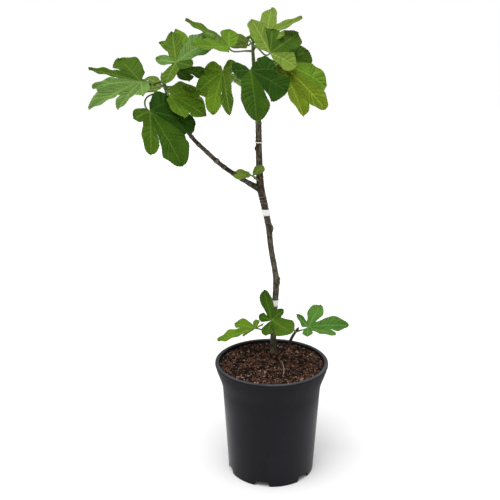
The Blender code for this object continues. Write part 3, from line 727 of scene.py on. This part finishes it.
def build_band(name, low, high, turns, film, seed):
    """Film wound round the trunk in overlapping turns, with a loose end."""
    draw = random.Random(seed)
    shape = bmesh.new()
    steps = int(turns * 40)
    across = 8
    width = (high - low) * 0.78
    made = bmesh.ops.create_grid(shape, x_segments=steps, y_segments=across, size=1.0)
    lean = draw.uniform(0.5, 1.2)
    for vert in made["verts"]:
        step = round((vert.co.x + 1) / 2 * steps)
        share = step / steps
        side = vert.co.y / 2
        turn = 2 * math.pi * turns * share + seed
        middle = low + width / 2 + (high - low - width) * share
        height = middle + side * width + lean * math.sin(turn) * side
        centre = trunk_at(height)
        crease = 0.16 * noise.noise(Vector((share * 30, side * 4, seed)))
        radius = centre.w + 0.45 + 0.16 * turns * share + crease * (0.4 + abs(side))
        loose = max(0.0, share - 0.965) / 0.035
        radius += 1.3 * loose * loose
        vert.co = Vector((centre.x + radius * math.cos(turn), centre.y + radius * math.sin(turn),
                          height)) * MM
    bmesh.ops.recalc_face_normals(shape, faces=shape.faces)
    bmesh.ops.solidify(shape, geom=shape.faces[:], thickness=0.16 * MM)
    placed(name + "_film", to_mesh(name, shape), name, "white_tape", film)


def build_ties(film):
    build_band("lower_band", 333.6, 348.4, 4.3, film, 1)
    build_band("upper_band", 522.0, 536.0, 4.6, film, 2)
    meshes = []
    for offset, phase in ((0.0, 0.4), (1.5, 2.2)):
        points = []
        for step in range(61):
            turn = phase + 2 * math.pi * 1.25 * step / 60
            height = 665.2 + offset * step / 60 + 0.5 * math.sin(turn)
            centre = trunk_at(height)
            radius = centre.w + 0.85 + 0.3 * (step / 60) * offset
            points.append(Vector((centre.x + radius * math.cos(turn),
                                  centre.y + radius * math.sin(turn), height, 0.75)))
        shape = bmesh.new()
        add_tube(shape, points, 10)
        meshes.append(to_mesh("strand", shape))
    placed("fine_tie_strands", joined("fine_tie_strands", meshes), "fine_tie", "white_tape", film)


# ---------------------------------------------------------------- leaves
def margin_places(lobe, notches):
    """Places along a lobe's margin: 0 to 1 up to the notch, 1 to 2 to the widest, 2 to 3 the tip."""
    length, half_width = lobe[1:3]
    reach = sum(cut * math.cos(spread) for _, spread, cut in notches) / 2
    widest = widest_place(length, reach)
    steps = (INNER_STEPS, max(4, round(1.25 * (widest - reach) / MARGIN_STEP)),
             max(8, round((length - widest + half_width) / MARGIN_STEP)))
    places = [0.0]
    for stage, count in enumerate(steps):
        places += [stage + (i + 1) / count for i in range(count)]
    return places


def widest_place(length, notch_reach):
    return max(WIDEST_AT * length, notch_reach + 0.25 * (length - notch_reach))


def margin_point(place, length, half_width, spread, cut):
    """The margin of half a lobe: how far along the lobe, and how far out from its rib."""
    notch = Vector((math.cos(spread), math.sin(spread))) * cut
    widest = widest_place(length, notch.x)
    if place <= 1.0:
        return notch * place
    if place <= 2.0:
        share = place - 1.0
        ease = share * share * (3 - 2 * share)
        along = notch.x + (widest - notch.x) * share
        out = notch.y + (half_width - notch.y) * ease
    else:
        turn = (place - 2.0) * math.pi / 2
        along = widest + (length - widest) * math.sin(turn)
        out = half_width * math.cos(turn) * (1 - TIP_POINT + TIP_POINT * math.cos(turn))
    return Vector((along, min(out, along * math.tan(spread) * SINUS_SLACK)))


def rib_point(place, length, notches):
    """How far along the rib a place lies, the same for both halves of the lobe."""
    reach = sum(cut * math.cos(spread) for _, spread, cut in notches) / 2
    widest = widest_place(length, reach)
    stops = (0.0, reach * RIB_EASE, widest * RIB_EASE, length)
    stage = min(int(place), 2)
    return stops[stage] + (stops[stage + 1] - stops[stage]) * (place - stage)


def notches_of(lobes, index):
    """The notch on each side of a lobe: side, angle from the lobe's rib, distance from the foot."""
    angle, length, half_width = lobes[index][:3]
    found = []
    for side in (-1, 1):
        other = index + side
        if not 0 <= other < len(lobes):
            free = (340.0 - lobes[-1][0] + lobes[0][0]) / 2
            spread = min(OUTER_SPREAD_DEG, free)
            found.append((side, math.radians(spread), OUTER_CUT * length))
            continue
        depth = lobes[min(index, other)][3] * min(length, lobes[other][1])
        weight = 0.25 + 0.5 * half_width / (half_width + lobes[other][2])
        spread = abs(lobes[other][0] - angle) * weight
        found.append((side, math.radians(spread), depth))
    return found


def curve_blade(flat, out, size, droop, fold, phase):
    """Bends a flat point of the blade down along an arc, and folds it up along the middle rib."""
    reach = flat.length
    if reach == 0.0:
        return Vector((0.0, 0.0, 0.0))
    rate = math.radians(droop) / size
    bent = flat * (math.sin(rate * reach) / (rate * reach))
    height = (math.cos(rate * reach) - 1.0) / rate
    height += math.tan(math.radians(fold)) * (math.hypot(bent.y, FOLD_ROUND) - FOLD_ROUND)
    far = reach / size
    height += LOBE_LIFT * size * out * out * min(1.0, 2.0 * far)
    turn = math.atan2(flat.y, flat.x)
    height += WAVE * size * far * far * math.sin(5.0 * turn + phase)
    return Vector((bent.x, bent.y, height))


def toothed_margin(lobe, notch, places, seed):
    """The margin of half a lobe with its teeth and ragged sweep, one point for each place."""
    length, half_width = lobe[1:3]
    _, spread, cut = notch
    plain = [margin_point(place, length, half_width, spread, cut) for place in places]
    grade = min(1.0, length / 70.0)
    sweep_grade = min(1.0, half_width / 24.0) * grade
    walked = 0.0
    found = []
    for index, (place, point) in enumerate(zip(places, plain)):
        if index:
            walked += (point - plain[index - 1]).length
        if place <= 1.0 or place >= 3.0:
            found.append(point)
            continue
        way = (plain[index + 1] - plain[index - 1]).normalized()
        tooth = abs(math.sin(math.pi * walked / TOOTH_LENGTH + seed))
        sweep = noise.noise(Vector((walked * 0.055, seed * 3.7, 0.5)))
        fade = min(1.0, (place - 1.0) * 3.0) * min(1.0, (3.0 - place) * 5.0)
        push = fade * (grade * TOOTH_DEPTH * (tooth - 0.6) + sweep_grade * RAGGED * sweep)
        pushed = point + Vector((-way.y, way.x)) * push
        found.append(Vector((pushed.x, max(pushed.y, 0.4 * point.y))))
    return found


def half_lobe(shape, blade, index, half, patterns):
    """A grid of faces from the rib to the toothed margin of half a lobe."""
    places, margin = blade.places[index], blade.margins[index][half]
    cells = len(places) - 1
    made = bmesh.ops.create_grid(shape, x_segments=cells, y_segments=ACROSS_STEPS, size=1.0)
    rows = {}
    for vert in made["verts"]:
        step = round((vert.co.x + 1) / 2 * cells)
        out = ((vert.co.y + 1) / 2) ** 1.25
        rows[vert] = (step, out)
    veins, light = patterns
    for face in {face for vert in made["verts"] for face in vert.link_faces}:
        for loop in face.loops:
            step, out = rows[loop.vert]
            loop[veins].uv = (blade.vein_count(index, places[step], out) / VEIN_ROWS,
                              margin[step].y * out / 100)
            loop[light].uv = (blade.sunlight(index, places[step], out), out)
        face.material_index = FINISHES_PER_TONE * blade.tones[index]
    if blade.notches[index][half][0] < 0:
        faces = list({face for vert in made["verts"] for face in vert.link_faces})
        bmesh.ops.reverse_faces(shape, faces=faces)
    return rows


class Blade:
    """The curved form of one leaf: it turns a place on a lobe into a place in the tree."""

    def __init__(self, leaf, phase):
        foot, aim, self.droop, self.fold, self.lobes = leaf[3:]
        names = [leaf[0]] * len(self.lobes) if isinstance(leaf[0], str) else leaf[0]
        self.tones = [list(LEAF_TONES).index(name) for name in names]
        self.foot = Vector(foot)
        self.phase = phase
        self.size = max(lobe[1] for lobe in self.lobes)
        self.axes = blade_axes(aim)
        self.up = self.axes[2]
        self.notches = [notches_of(self.lobes, index) for index in range(len(self.lobes))]
        self.places = [margin_places(lobe, notches)
                       for lobe, notches in zip(self.lobes, self.notches)]
        draw = random.Random(f"{foot} {aim}")
        self.margins = []
        self.curls = []
        for lobe, notches, places in zip(self.lobes, self.notches, self.places):
            self.margins.append([toothed_margin(lobe, notch, places, draw.uniform(0.0, 3.0))
                                 for notch in notches])
            self.curls.append((draw.uniform(-1.0, 0.6), draw.uniform(-1.0, 1.0),
                               draw.uniform(0.0, 6.3)))
        self.suns = [draw.uniform(0.15, 0.95) for _ in self.lobes]

    def margin_at(self, index, half, place):
        """The margin between its worked out points."""
        places, margin = self.places[index], self.margins[index][half]
        high = next((step for step, at in enumerate(places) if at >= place), len(places) - 1)
        low = max(high - 1, 0)
        share = (place - places[low]) / max(places[high] - places[low], 1e-9)
        return margin[low].lerp(margin[high], min(max(share, 0.0), 1.0))

    def spot(self, index, half, place, out, edge=None, lift=0.0):
        """The place in the tree of a point on half a lobe, out from its rib by a share."""
        lobe, notches = self.lobes[index], self.notches[index]
        angle, length = lobe[:2]
        side = notches[half][0]
        edge = edge or self.margin_at(index, half, place)
        rib = rib_point(place, length, notches)
        along = rib + (edge.x - rib) * out
        aside = edge.y * out
        lean = math.radians(angle)
        flat = Vector((along * math.cos(lean) - aside * side * math.sin(lean),
                       along * math.sin(lean) + aside * side * math.cos(lean)))
        local = curve_blade(flat, out, self.size, self.droop, self.fold, self.phase)
        free = max(0.0, place - 1.0) / 2.0
        curl, roll, wave = self.curls[index]
        local.z += LOBE_CURL * curl * length * free * free
        local.z += LOBE_ROLL * roll * aside * side * free * min(1.0, 1.4 - free)
        ripple = math.sin(along * 2 * math.pi / 31.0 + wave + half * 2.0)
        local.z += MARGIN_WAVE * ripple * out * out * min(1.0, free * 3.0) * min(1.0, length / 70)
        between = math.sin(math.pi * self.vein_count(index, place, out)) ** 2
        inside = 1.0 - out ** 5
        calm = min(1.0, aside / 4.0) * inside * min(1.0, length / 60)
        groove = math.exp(-(aside / 1.6) ** 2) * inside * min(1.0, 2.0 * place)
        local.z += PUCKER * (between - 0.5) * calm - RIB_GROOVE * groove
        along_way, across_way, up = self.axes
        return (self.foot + along_way * local.x + across_way * local.y
                + up * (local.z + lift))

    def sunlight(self, index, place, out):
        """How sunlit the blade is: even at its middle, and each lobe's own towards its tip."""
        free = min(1.0, max(0.0, place - 1.0) * 0.8)
        return 0.45 + (self.suns[index] - 0.45) * free - 0.12 * (1.0 - out) * free

    def vein_count(self, index, place, out):
        """Whole numbers where a side vein runs, and halves midway between two of them."""
        start = max(0.0, place - VEIN_SLANT * out)
        return rib_point(start, self.lobes[index][1], self.notches[index]) / VEIN_SPACING

    def vein_starts(self, index):
        """The places on a lobe's rib where its side veins leave."""
        length = self.lobes[index][1]
        found = []
        wanted = 2
        for step in range(1, 400):
            place = 3.0 * step / 400
            if rib_point(place, length, self.notches[index]) >= wanted * VEIN_SPACING:
                if place < 2.8:
                    found.append(place)
                wanted += 1
        return found


def blade_axes(aim):
    """The blade's own axes in the world: along its middle rib, across it, and out of its face."""
    turn, rise, roll = (math.radians(part) for part in aim)
    along = Vector((math.cos(turn) * math.cos(rise), math.sin(turn) * math.cos(rise),
                    math.sin(rise)))
    level = Vector((-math.sin(turn), math.cos(turn), 0.0))
    upright = along.cross(level)
    across = level * math.cos(roll) + upright * math.sin(roll)
    return along, across, along.cross(across)


def add_skin(shape, points, sides, finish):
    """An open skin of a few sides along the points."""
    made = bmesh.ops.create_grid(shape, x_segments=sides, y_segments=len(points) - 1, size=1.0)
    frames = along_route(points)
    for vert in made["verts"]:
        column = round((vert.co.x + 1) / 2 * sides) % sides
        point, _, right, front = frames[round((vert.co.y + 1) / 2 * (len(points) - 1))]
        turn = 2 * math.pi * (column + 0.5) / sides
        vert.co = (point.xyz + (right * math.cos(turn) + front * math.sin(turn)) * point.w) * MM
    for face in {face for vert in made["verts"] for face in vert.link_faces}:
        face.material_index = finish


def build_veins(blade):
    """Ribs from the blade's foot to each tip, and the side veins that leave them."""
    shape = bmesh.new()
    grade = min(1.0, blade.size / 70.0)
    for index, lobe in enumerate(blade.lobes):
        thick = grade * min(1.0, 0.45 + 0.55 * lobe[1] / blade.size)
        finish = FINISHES_PER_TONE * blade.tones[index] + 2
        rib = []
        for step in range(17):
            share = step / 16
            width = thick * (0.85 * (1 - share) ** 0.8 + 0.20)
            spot = blade.spot(index, 0, 2.96 * share, 0.0, lift=0.12 - width)
            rib.append(Vector((*spot, width)))
        add_skin(shape, rib, 6, finish)
        for half in (0, 1):
            for start in blade.vein_starts(index):
                steps = 7
                line = []
                for step in range(steps + 1):
                    out = 0.93 * step / steps
                    place = min(start + VEIN_SLANT * out, 2.985)
                    width = thick * (0.52 - 0.30 * step / steps)
                    spot = blade.spot(index, half, place, out, lift=0.14 - width)
                    line.append(Vector((*spot, width)))
                if (line[0].xyz - line[-1].xyz).length > 5.0:
                    add_skin(shape, line, 4, finish)
    bmesh.ops.remove_doubles(shape, verts=shape.verts, dist=WELD)
    rim = [edge for edge in shape.edges if edge.is_boundary]
    bmesh.ops.holes_fill(shape, edges=rim, sides=8)
    return to_mesh("veins", shape, weld=False)


def build_blade(leaf, phase):
    """One leaf in its place: upper side, underside and the rim between them, and its veins."""
    blade = Blade(leaf, phase)
    shape = bmesh.new()
    for name in ("Veins", "Light"):
        shape.loops.layers.uv.new(name)
    patterns = [shape.loops.layers.uv[name] for name in ("Veins", "Light")]
    spots = {}
    for index in range(len(blade.lobes)):
        for half in (0, 1):
            places, margin = blade.places[index], blade.margins[index][half]
            found = half_lobe(shape, blade, index, half, patterns)
            for vert, (step, out) in found.items():
                spots[vert] = blade.spot(index, half, places[step], out, margin[step])
    for vert, spot in spots.items():
        vert.co = spot * MM
    bmesh.ops.remove_doubles(shape, verts=shape.verts, dist=SEAM_WELD)
    bmesh.ops.dissolve_degenerate(shape, edges=shape.edges, dist=SEAM_WELD)
    mesh = bpy.data.meshes.new("blade")
    shape.to_mesh(mesh)
    shape.free()
    for _ in range(FINISHES_PER_TONE * len(LEAF_TONES)):
        mesh.materials.append(None)
    sheet = bpy.data.objects.new("blade", mesh)
    bpy.context.scene.collection.objects.link(sheet)
    shell = sheet.modifiers.new("thickness", "SOLIDIFY")
    shell.thickness = BLADE_THICKNESS * MM
    shell.offset = -1.0
    shell.use_rim = True
    shell.material_offset = 1
    shell.material_offset_rim = 1
    graph = bpy.context.evaluated_depsgraph_get()
    solid = bpy.data.meshes.new_from_object(sheet.evaluated_get(graph))
    bpy.data.objects.remove(sheet, do_unlink=True)
    bpy.data.meshes.remove(mesh)
    return joined("leaf", [solid, build_veins(blade)])


def stalk_route(start, leaf, steps=18):
    """A stalk from its place on the shoot to a little way inside the blade's foot."""
    bow, foot, aim = leaf[2:5]
    along, _, face_way = blade_axes(aim)
    foot = Vector(foot)
    arrive = (along + face_way).normalized()
    span = (foot - start).length
    first = start + (foot - start) * 0.35 + Vector(bow)
    second = foot - arrive * span * 0.3
    points = []
    for step in range(steps):
        t = step / (steps - 1)
        spot = (start * (1 - t) ** 3 + first * 3 * t * (1 - t) ** 2
                + second * 3 * t * t * (1 - t) + foot * t ** 3)
        radius = STALK_FOOT_RADIUS + (STALK_RADIUS - STALK_FOOT_RADIUS) * min(1.0, 3 * t)
        points.append(Vector((*(spot - face_way * 0.9 * t), radius)))
    for reach, width in ((2.0, 1.25), (5.0, 0.9), (9.0, 0.5)):
        points.append(Vector((*(foot + along * reach - face_way * 1.0), width)))
    return points


def back_leaves(rule):
    """Leaves of the side that faces away, fanned round the shoot with a seeded spread."""
    draw = random.Random(rule["seed"])
    leaves = []
    for index in range(rule["count"]):
        turn = rule["first"] + index * rule["step"] + draw.uniform(-8.0, 8.0)
        share = 0.5 if rule["count"] == 1 else index / (rule["count"] - 1)
        at = rule["low"] + (rule["high"] - rule["low"]) * share
        length = rule["length"] * draw.uniform(0.9, 1.1)
        rise = rule["rise"] + draw.uniform(-8.0, 8.0)
        leaves.append((turn, at, length, rise, draw.uniform(-12.0, 12.0)))
    return leaves


def back_leaf(row, lift, route, tone):
    """The full description of one leaf of the far side, from its turn about the shoot."""
    turn, at, length, rise, roll = row
    start = route[round(at * (len(route) - 1))].xyz
    out = Vector((math.cos(math.radians(turn)), math.sin(math.radians(turn)), 0.0))
    foot = start + out * length * 0.5 + Vector((0.0, 0.0, lift))
    lobes = tuple((angle, reach * length, wide * length, cut)
                  for angle, reach, wide, cut in EVEN_BLADE)
    return (tone, at, (0, 0, 10), tuple(foot), (turn, rise, roll), 30, 8, lobes)


def bud_route(tip, way, length, radius):
    """A pointed bud at the end of a shoot."""
    shares = ((0.0, 1.0), (0.15, 1.25), (0.4, 1.1), (0.7, 0.65), (0.9, 0.3), (1.0, 0.06))
    return [Vector((*(tip + way * length * at), radius * wide)) for at, wide in shares]


def build_mass(name, plan, finishes, stems):
    """One shoot with its stalks and leaves, as two pieces that stand for its solid."""
    bark, green = stems
    coarse = smooth_route(plan["shoot"], 3)
    leaves = list(plan["leaves"])
    if "back" in plan:
        rule = plan["back"]
        leaves += [back_leaf(row, rule["lift"], coarse, BACK_TONES[index % 3])
                   for index, row in enumerate(back_leaves(rule))]
    blades = []
    parts = []
    shape = bmesh.new()
    route = even_route(smooth_route(plan["shoot"], 10), 0.8)
    add_tube(shape, route, 20, shoot_swell)
    parts.append(to_mesh("shoot", shape))
    way = (route[-1].xyz - route[-4].xyz).normalized()
    shape = bmesh.new()
    add_tube(shape, bud_route(route[-1].xyz - way * 0.5, way, 9.0, route[-1].w * 1.1), 16)
    parts.append(to_mesh("bud", shape))
    for index, leaf in enumerate(leaves):
        start = coarse[round(leaf[1] * (len(coarse) - 1))].xyz
        shape = bmesh.new()
        add_tube(shape, stalk_route(start, leaf), 12)
        stalk = to_mesh("stalk", shape)
        for polygon in stalk.polygons:
            polygon.material_index = 1
        parts.append(stalk)
        blades.append(build_blade(leaf, float(index)))
    surfaces = [finish for tone in LEAF_TONES for finish in finishes[tone]]
    placed(name + "_blades", joined(name + "_blades", blades), name, "fig_leaf", *surfaces)
    placed(name + "_stalks", joined(name + "_stalks", parts), name, "fig_leaf", bark, green)


def shoot_swell(spot, out, share):
    """Rings where leaves sit and dropped, evenly spaced along the shoot."""
    ring = 0.25 * max(0.0, math.sin(share * 34.0 + 0.4 * out.x)) ** 4
    return ring + 0.15 * noise.noise(spot * 0.4), ring


# ---------------------------------------------------------------- pot and compost
def wall_radius(height):
    """Outer radius of the pot: a slow taper, with a trumpet flare added towards the rim."""
    slope = (COLLAR_RADIUS - FOOT_RADIUS) / (POT_HEIGHT - COLLAR_HEIGHT)
    taper = FOOT_RADIUS + slope * height
    share = max(0.0, height - POT_HEIGHT + COLLAR_HEIGHT) / COLLAR_HEIGHT
    flare = RIM_RADIUS - FOOT_RADIUS - slope * POT_HEIGHT
    return taper + flare * share * share * (3 - 2 * share)


def arc(centre, radius, start_deg, end_deg, steps):
    """Points on a quarter or half round, as (radius, height)."""
    found = []
    for step in range(steps + 1):
        turn = math.radians(start_deg + (end_deg - start_deg) * step / steps)
        found.append((centre[0] + radius * math.cos(turn), centre[1] + radius * math.sin(turn)))
    return found


def pot_profile():
    inner_rim = RIM_RADIUS - RIM_WIDTH
    collar_foot = POT_HEIGHT - COLLAR_HEIGHT
    floor_top = FLOOR_HEIGHT + FLOOR_THICKNESS
    inside = [
        (0.0, FLOOR_THICKNESS),
        (PAD_RADIUS - WALL, FLOOR_THICKNESS),
        (PAD_RADIUS + PAD_SLOPE - WALL, floor_top),
        (FOOT_RADIUS - WALL, floor_top),
        (COLLAR_RADIUS - WALL, collar_foot),
        (inner_rim, POT_HEIGHT - COLLAR_HEIGHT / 3),
    ]
    lip = arc((inner_rim + 3.0, POT_HEIGHT - 3.0), 3.0, 180, 90, 6)
    lip += arc((RIM_RADIUS - 2.4, POT_HEIGHT - 2.4), 2.4, 90, 0, 6)
    lip += [(RIM_RADIUS, POT_HEIGHT - 5.2), (RIM_RADIUS - 0.5, POT_HEIGHT - 6.2)]
    top = POT_HEIGHT - 7.4
    outside = [(wall_radius(top * (1 - step / 60)), top * (1 - step / 60)) for step in range(60)]
    underside = [
        (FOOT_RADIUS + 0.1, 1.0),
        (FOOT_RADIUS - 0.6, 0.0),
        (FOOT_RADIUS - WALL, 0.0),
        (FOOT_RADIUS - WALL, FLOOR_HEIGHT),
        (PAD_RADIUS + PAD_SLOPE, FLOOR_HEIGHT),
        (PAD_RADIUS, 0.0),
        (0.0, 0.0),
    ]
    return inside + lip + outside + underside


def turned(profile, steps):
    """A bmesh turned about the upright axis from (radius, height) points."""
    shape = bmesh.new()
    verts = [shape.verts.new((radius * MM, 0.0, height * MM)) for radius, height in profile]
    edges = [shape.edges.new(pair) for pair in zip(verts, verts[1:])]
    bmesh.ops.spin(shape, geom=verts + edges, cent=(0, 0, 0), axis=(0, 0, 1),
                   angle=2 * math.pi, steps=steps, use_merge=True)
    bmesh.ops.remove_doubles(shape, verts=shape.verts, dist=WELD)
    bmesh.ops.recalc_face_normals(shape, faces=shape.faces)
    return shape


def notch_cutters():
    """Six blocks across the foot ring, narrower at their tops, as one object."""
    shape = bmesh.new()
    for index in range(NOTCHES):
        made = bmesh.ops.create_cube(shape, size=1.0)
        for vert in made["verts"]:
            top = vert.co.z > 0
            vert.co.x *= NOTCH_DEPTH
            vert.co.y *= NOTCH_TOP_WIDTH if top else NOTCH_FOOT_WIDTH
            vert.co.z = NOTCH_HEIGHT if top else -1.0
        turn = math.radians(FIRST_NOTCH_DEG + 360.0 * index / NOTCHES)
        bmesh.ops.translate(shape, vec=(FOOT_RADIUS, 0.0, 0.0), verts=made["verts"])
        bmesh.ops.rotate(shape, cent=(0, 0, 0), matrix=Matrix.Rotation(turn, 3, "Z"),
                         verts=made["verts"])
    bmesh.ops.scale(shape, vec=(MM, MM, MM), verts=shape.verts)
    cutter = bpy.data.objects.new("notch_cutters", to_mesh("notch_cutters", shape))
    bpy.context.scene.collection.objects.link(cutter)
    return cutter


def build_pot():
    shape = turned(pot_profile(), POT_STEPS)
    pot = placed("pot_shell", to_mesh("pot_shell", shape), "pot", "black_plastic",
                 plastic_finish())
    cutter = notch_cutters()
    cut = pot.modifiers.new("notches", "BOOLEAN")
    cut.operation = "DIFFERENCE"
    cut.object = cutter
    graph = bpy.context.evaluated_depsgraph_get()
    mesh = bpy.data.meshes.new_from_object(pot.evaluated_get(graph))
    pot.modifiers.clear()
    pot.data = mesh
    bpy.data.objects.remove(cutter, do_unlink=True)
    for polygon in mesh.polygons:
        polygon.use_smooth = True
    mesh.set_sharp_from_angle(angle=math.radians(38))


def soil_height(x, y):
    """Top of the compost: lumpy, a little sunk at the wall and mounded at the trunk."""
    spot = Vector((x, y, 0.0))
    height = SOIL_TOP - 2.2 + 2.4 * noise.noise(spot * 0.03) + 1.6 * noise.noise(spot * 0.11)
    height += 1.0 * noise.noise(spot * 0.33)
    apart = math.hypot(x - TRUNK[0][0], y - TRUNK[0][1])
    return height + 4.0 * math.exp(-(apart / 26.0) ** 2)


def build_soil():
    inner_rim = RIM_RADIUS - RIM_WIDTH - 0.3
    rings = 46
    top = [(inner_rim * step / rings, SOIL_TOP) for step in range(rings + 1)]
    side = [(inner_rim, POT_HEIGHT - COLLAR_HEIGHT / 3), (95.0, 177.0), (84.0, 13.8), (0.0, 13.8)]
    shape = turned(top + side, 120)
    for vert in shape.verts:
        if vert.co.z > (SOIL_TOP - 0.5) * MM:
            vert.co.z = soil_height(vert.co.x / MM, vert.co.y / MM) * MM
    # dark damp compost, darkened further as painted shade in the gaps between the chips
    bed = compost_finish("shaded_damp_compost", (0.004, 0.0025, 0.002), (0.026, 0.014, 0.010), 190.0)
    placed("compost_bed", to_mesh("compost_bed", shape), "soil", "compost", bed)
    draw = random.Random(21)
    kinds = {
        "dark": (1100, (0.004, 0.003, 0.002), (0.022, 0.012, 0.009)),
        "brown": (1500, (0.032, 0.015, 0.009), (0.200, 0.092, 0.055)),
        "light": (620, (0.150, 0.080, 0.052), (0.560, 0.390, 0.290)),
    }
    for kind, (count, dark, light) in kinds.items():
        chips = bmesh.new()
        for _ in range(count):
            reach = (inner_rim - 4.0) * math.sqrt(draw.random())
            turn = draw.uniform(0.0, 2 * math.pi)
            add_chip(chips, reach * math.cos(turn), reach * math.sin(turn), draw,
                     0.7 if kind == "light" else 1.0)
        surface = compost_finish(f"{kind}_bark_chips", dark, light, 330.0)
        placed(f"{kind}_chips", to_mesh(f"{kind}_chips", chips, weld=False), "soil", "compost",
               surface, smooth=False)


def add_chip(chips, x, y, draw, grade):
    """A broken lump of bark, lying on the compost at any lean."""
    made = bmesh.ops.create_cube(chips, size=1.0)["verts"]
    long_side = grade * draw.choice((2.4, 3.2, 4.2, 5.4, 7.2))
    wide_side = long_side * draw.uniform(0.45, 0.9)
    thick = draw.uniform(0.3, 0.55) * long_side
    for vert in made:
        vert.co.x *= long_side * draw.uniform(0.5, 1.15)
        vert.co.y *= wide_side * draw.uniform(0.4, 1.15)
        vert.co.z *= thick * draw.uniform(0.5, 1.3)
    turn = (Matrix.Rotation(draw.uniform(0, 2 * math.pi), 3, "Z")
            @ Matrix.Rotation(draw.gauss(0.0, 0.6), 3, "X")
            @ Matrix.Rotation(draw.gauss(0.0, 0.5), 3, "Y"))
    bmesh.ops.rotate(chips, cent=(0, 0, 0), matrix=turn, verts=made)
    seat = soil_height(x, y) + thick * draw.uniform(0.0, 0.5)
    bmesh.ops.translate(chips, vec=(x, y, seat), verts=made)
    bmesh.ops.scale(chips, vec=(MM, MM, MM), verts=made)


def build_rootlet(stem):
    """A pale surface root that curls over the compost."""
    stations = ((20.0, -62.0, 228.0, 0.5), (22.5, -46.0, 231.5, 0.8), (22.5, -26.0, 232.8, 0.8),
                (20.0, -6.0, 232.8, 0.7), (16.0, 10.0, 229.0, 0.4))
    shape = bmesh.new()
    add_tube(shape, smooth_route(stations, 8), 8)
    placed("surface_rootlet", to_mesh("surface_rootlet", shape), "soil", "compost", stem)


# ---------------------------------------------------------------- studio
DOME = 0.73
KEY = 2.0
KEY_SPREAD_DEG = 48.0
KEY_FROM = (-0.24, -0.44, 1.5)


def build_studio():
    scene = bpy.context.scene
    scene.view_settings.view_transform = "Standard"
    data = bpy.data.cameras.new("camera")
    data.lens = 57.6
    data.sensor_width = 36.0
    camera = bpy.data.objects.new("camera", data)
    camera.location = (-0.0431, -1.466, 0.902)
    camera.rotation_euler.x = math.radians(73.33)
    scene.collection.objects.link(camera)
    scene.camera = camera
    world = bpy.data.worlds.new("studio")
    world.use_nodes = True
    tree = world.node_tree
    dome = tree.nodes["Background"]
    dome.inputs["Color"].default_value = (1.0, 1.0, 1.0, 1.0)
    dome.inputs["Strength"].default_value = DOME
    paper_sky = tree.nodes.new("ShaderNodeBackground")
    paper_sky.inputs["Strength"].default_value = 1.0
    paper_sky.inputs["Color"].default_value = (1.0, 1.0, 1.0, 1.0)
    choice = tree.nodes.new("ShaderNodeMixShader")
    rays = tree.nodes.new("ShaderNodeLightPath")
    tree.links.new(rays.outputs["Is Camera Ray"], choice.inputs[0])
    tree.links.new(dome.outputs[0], choice.inputs[1])
    tree.links.new(paper_sky.outputs[0], choice.inputs[2])
    tree.links.new(choice.outputs[0], tree.nodes["World Output"].inputs[0])
    scene.world = world
    shape = bmesh.new()
    bmesh.ops.create_grid(shape, x_segments=4, y_segments=4, size=6.0)
    floor_mesh = bpy.data.meshes.new("floor")
    shape.to_mesh(floor_mesh)
    shape.free()
    floor = bpy.data.objects.new("floor", floor_mesh)
    scene.collection.objects.link(floor)
    paper = Finish("white_paper", 0.9, Specular_IOR_Level=0.1)
    paper.put("Base Color", paper.blend(paper.span(paper.grain(3.0), 0.3, 0.7),
                                        (0.93, 0.93, 0.93), (0.95, 0.95, 0.95)))
    floor_mesh.materials.append(paper.material)
    lamp = bpy.data.lights.new("key", "SUN")
    lamp.energy = KEY
    lamp.angle = math.radians(KEY_SPREAD_DEG)
    light = bpy.data.objects.new("key", lamp)
    light.rotation_euler = (-Vector(KEY_FROM)).to_track_quat("-Z", "Y").to_euler()
    scene.collection.objects.link(light)


def main():
    build_studio()
    build_pot()
    build_soil()
    build_limbs()
    film = film_finish()
    build_ties(film)
    finishes = leaf_finishes()
    green = green_stem_finish("green_leaf_stalk", (0.150, 0.215, 0.055), (0.085, 0.130, 0.032))
    olive = green_stem_finish("olive_shoot_bark", (0.095, 0.140, 0.030), (0.060, 0.070, 0.022))
    brown = green_stem_finish("brown_basal_bark", (0.045, 0.034, 0.022), (0.018, 0.014, 0.010))
    for name, plan in MASSES.items():
        bark = brown if name == "right_basal_shoot" else olive
        build_mass(name, plan, finishes, (bark, green))
    build_rootlet(green_stem_finish("pale_rootlet", (0.42, 0.30, 0.24), (0.26, 0.17, 0.13)))


main()
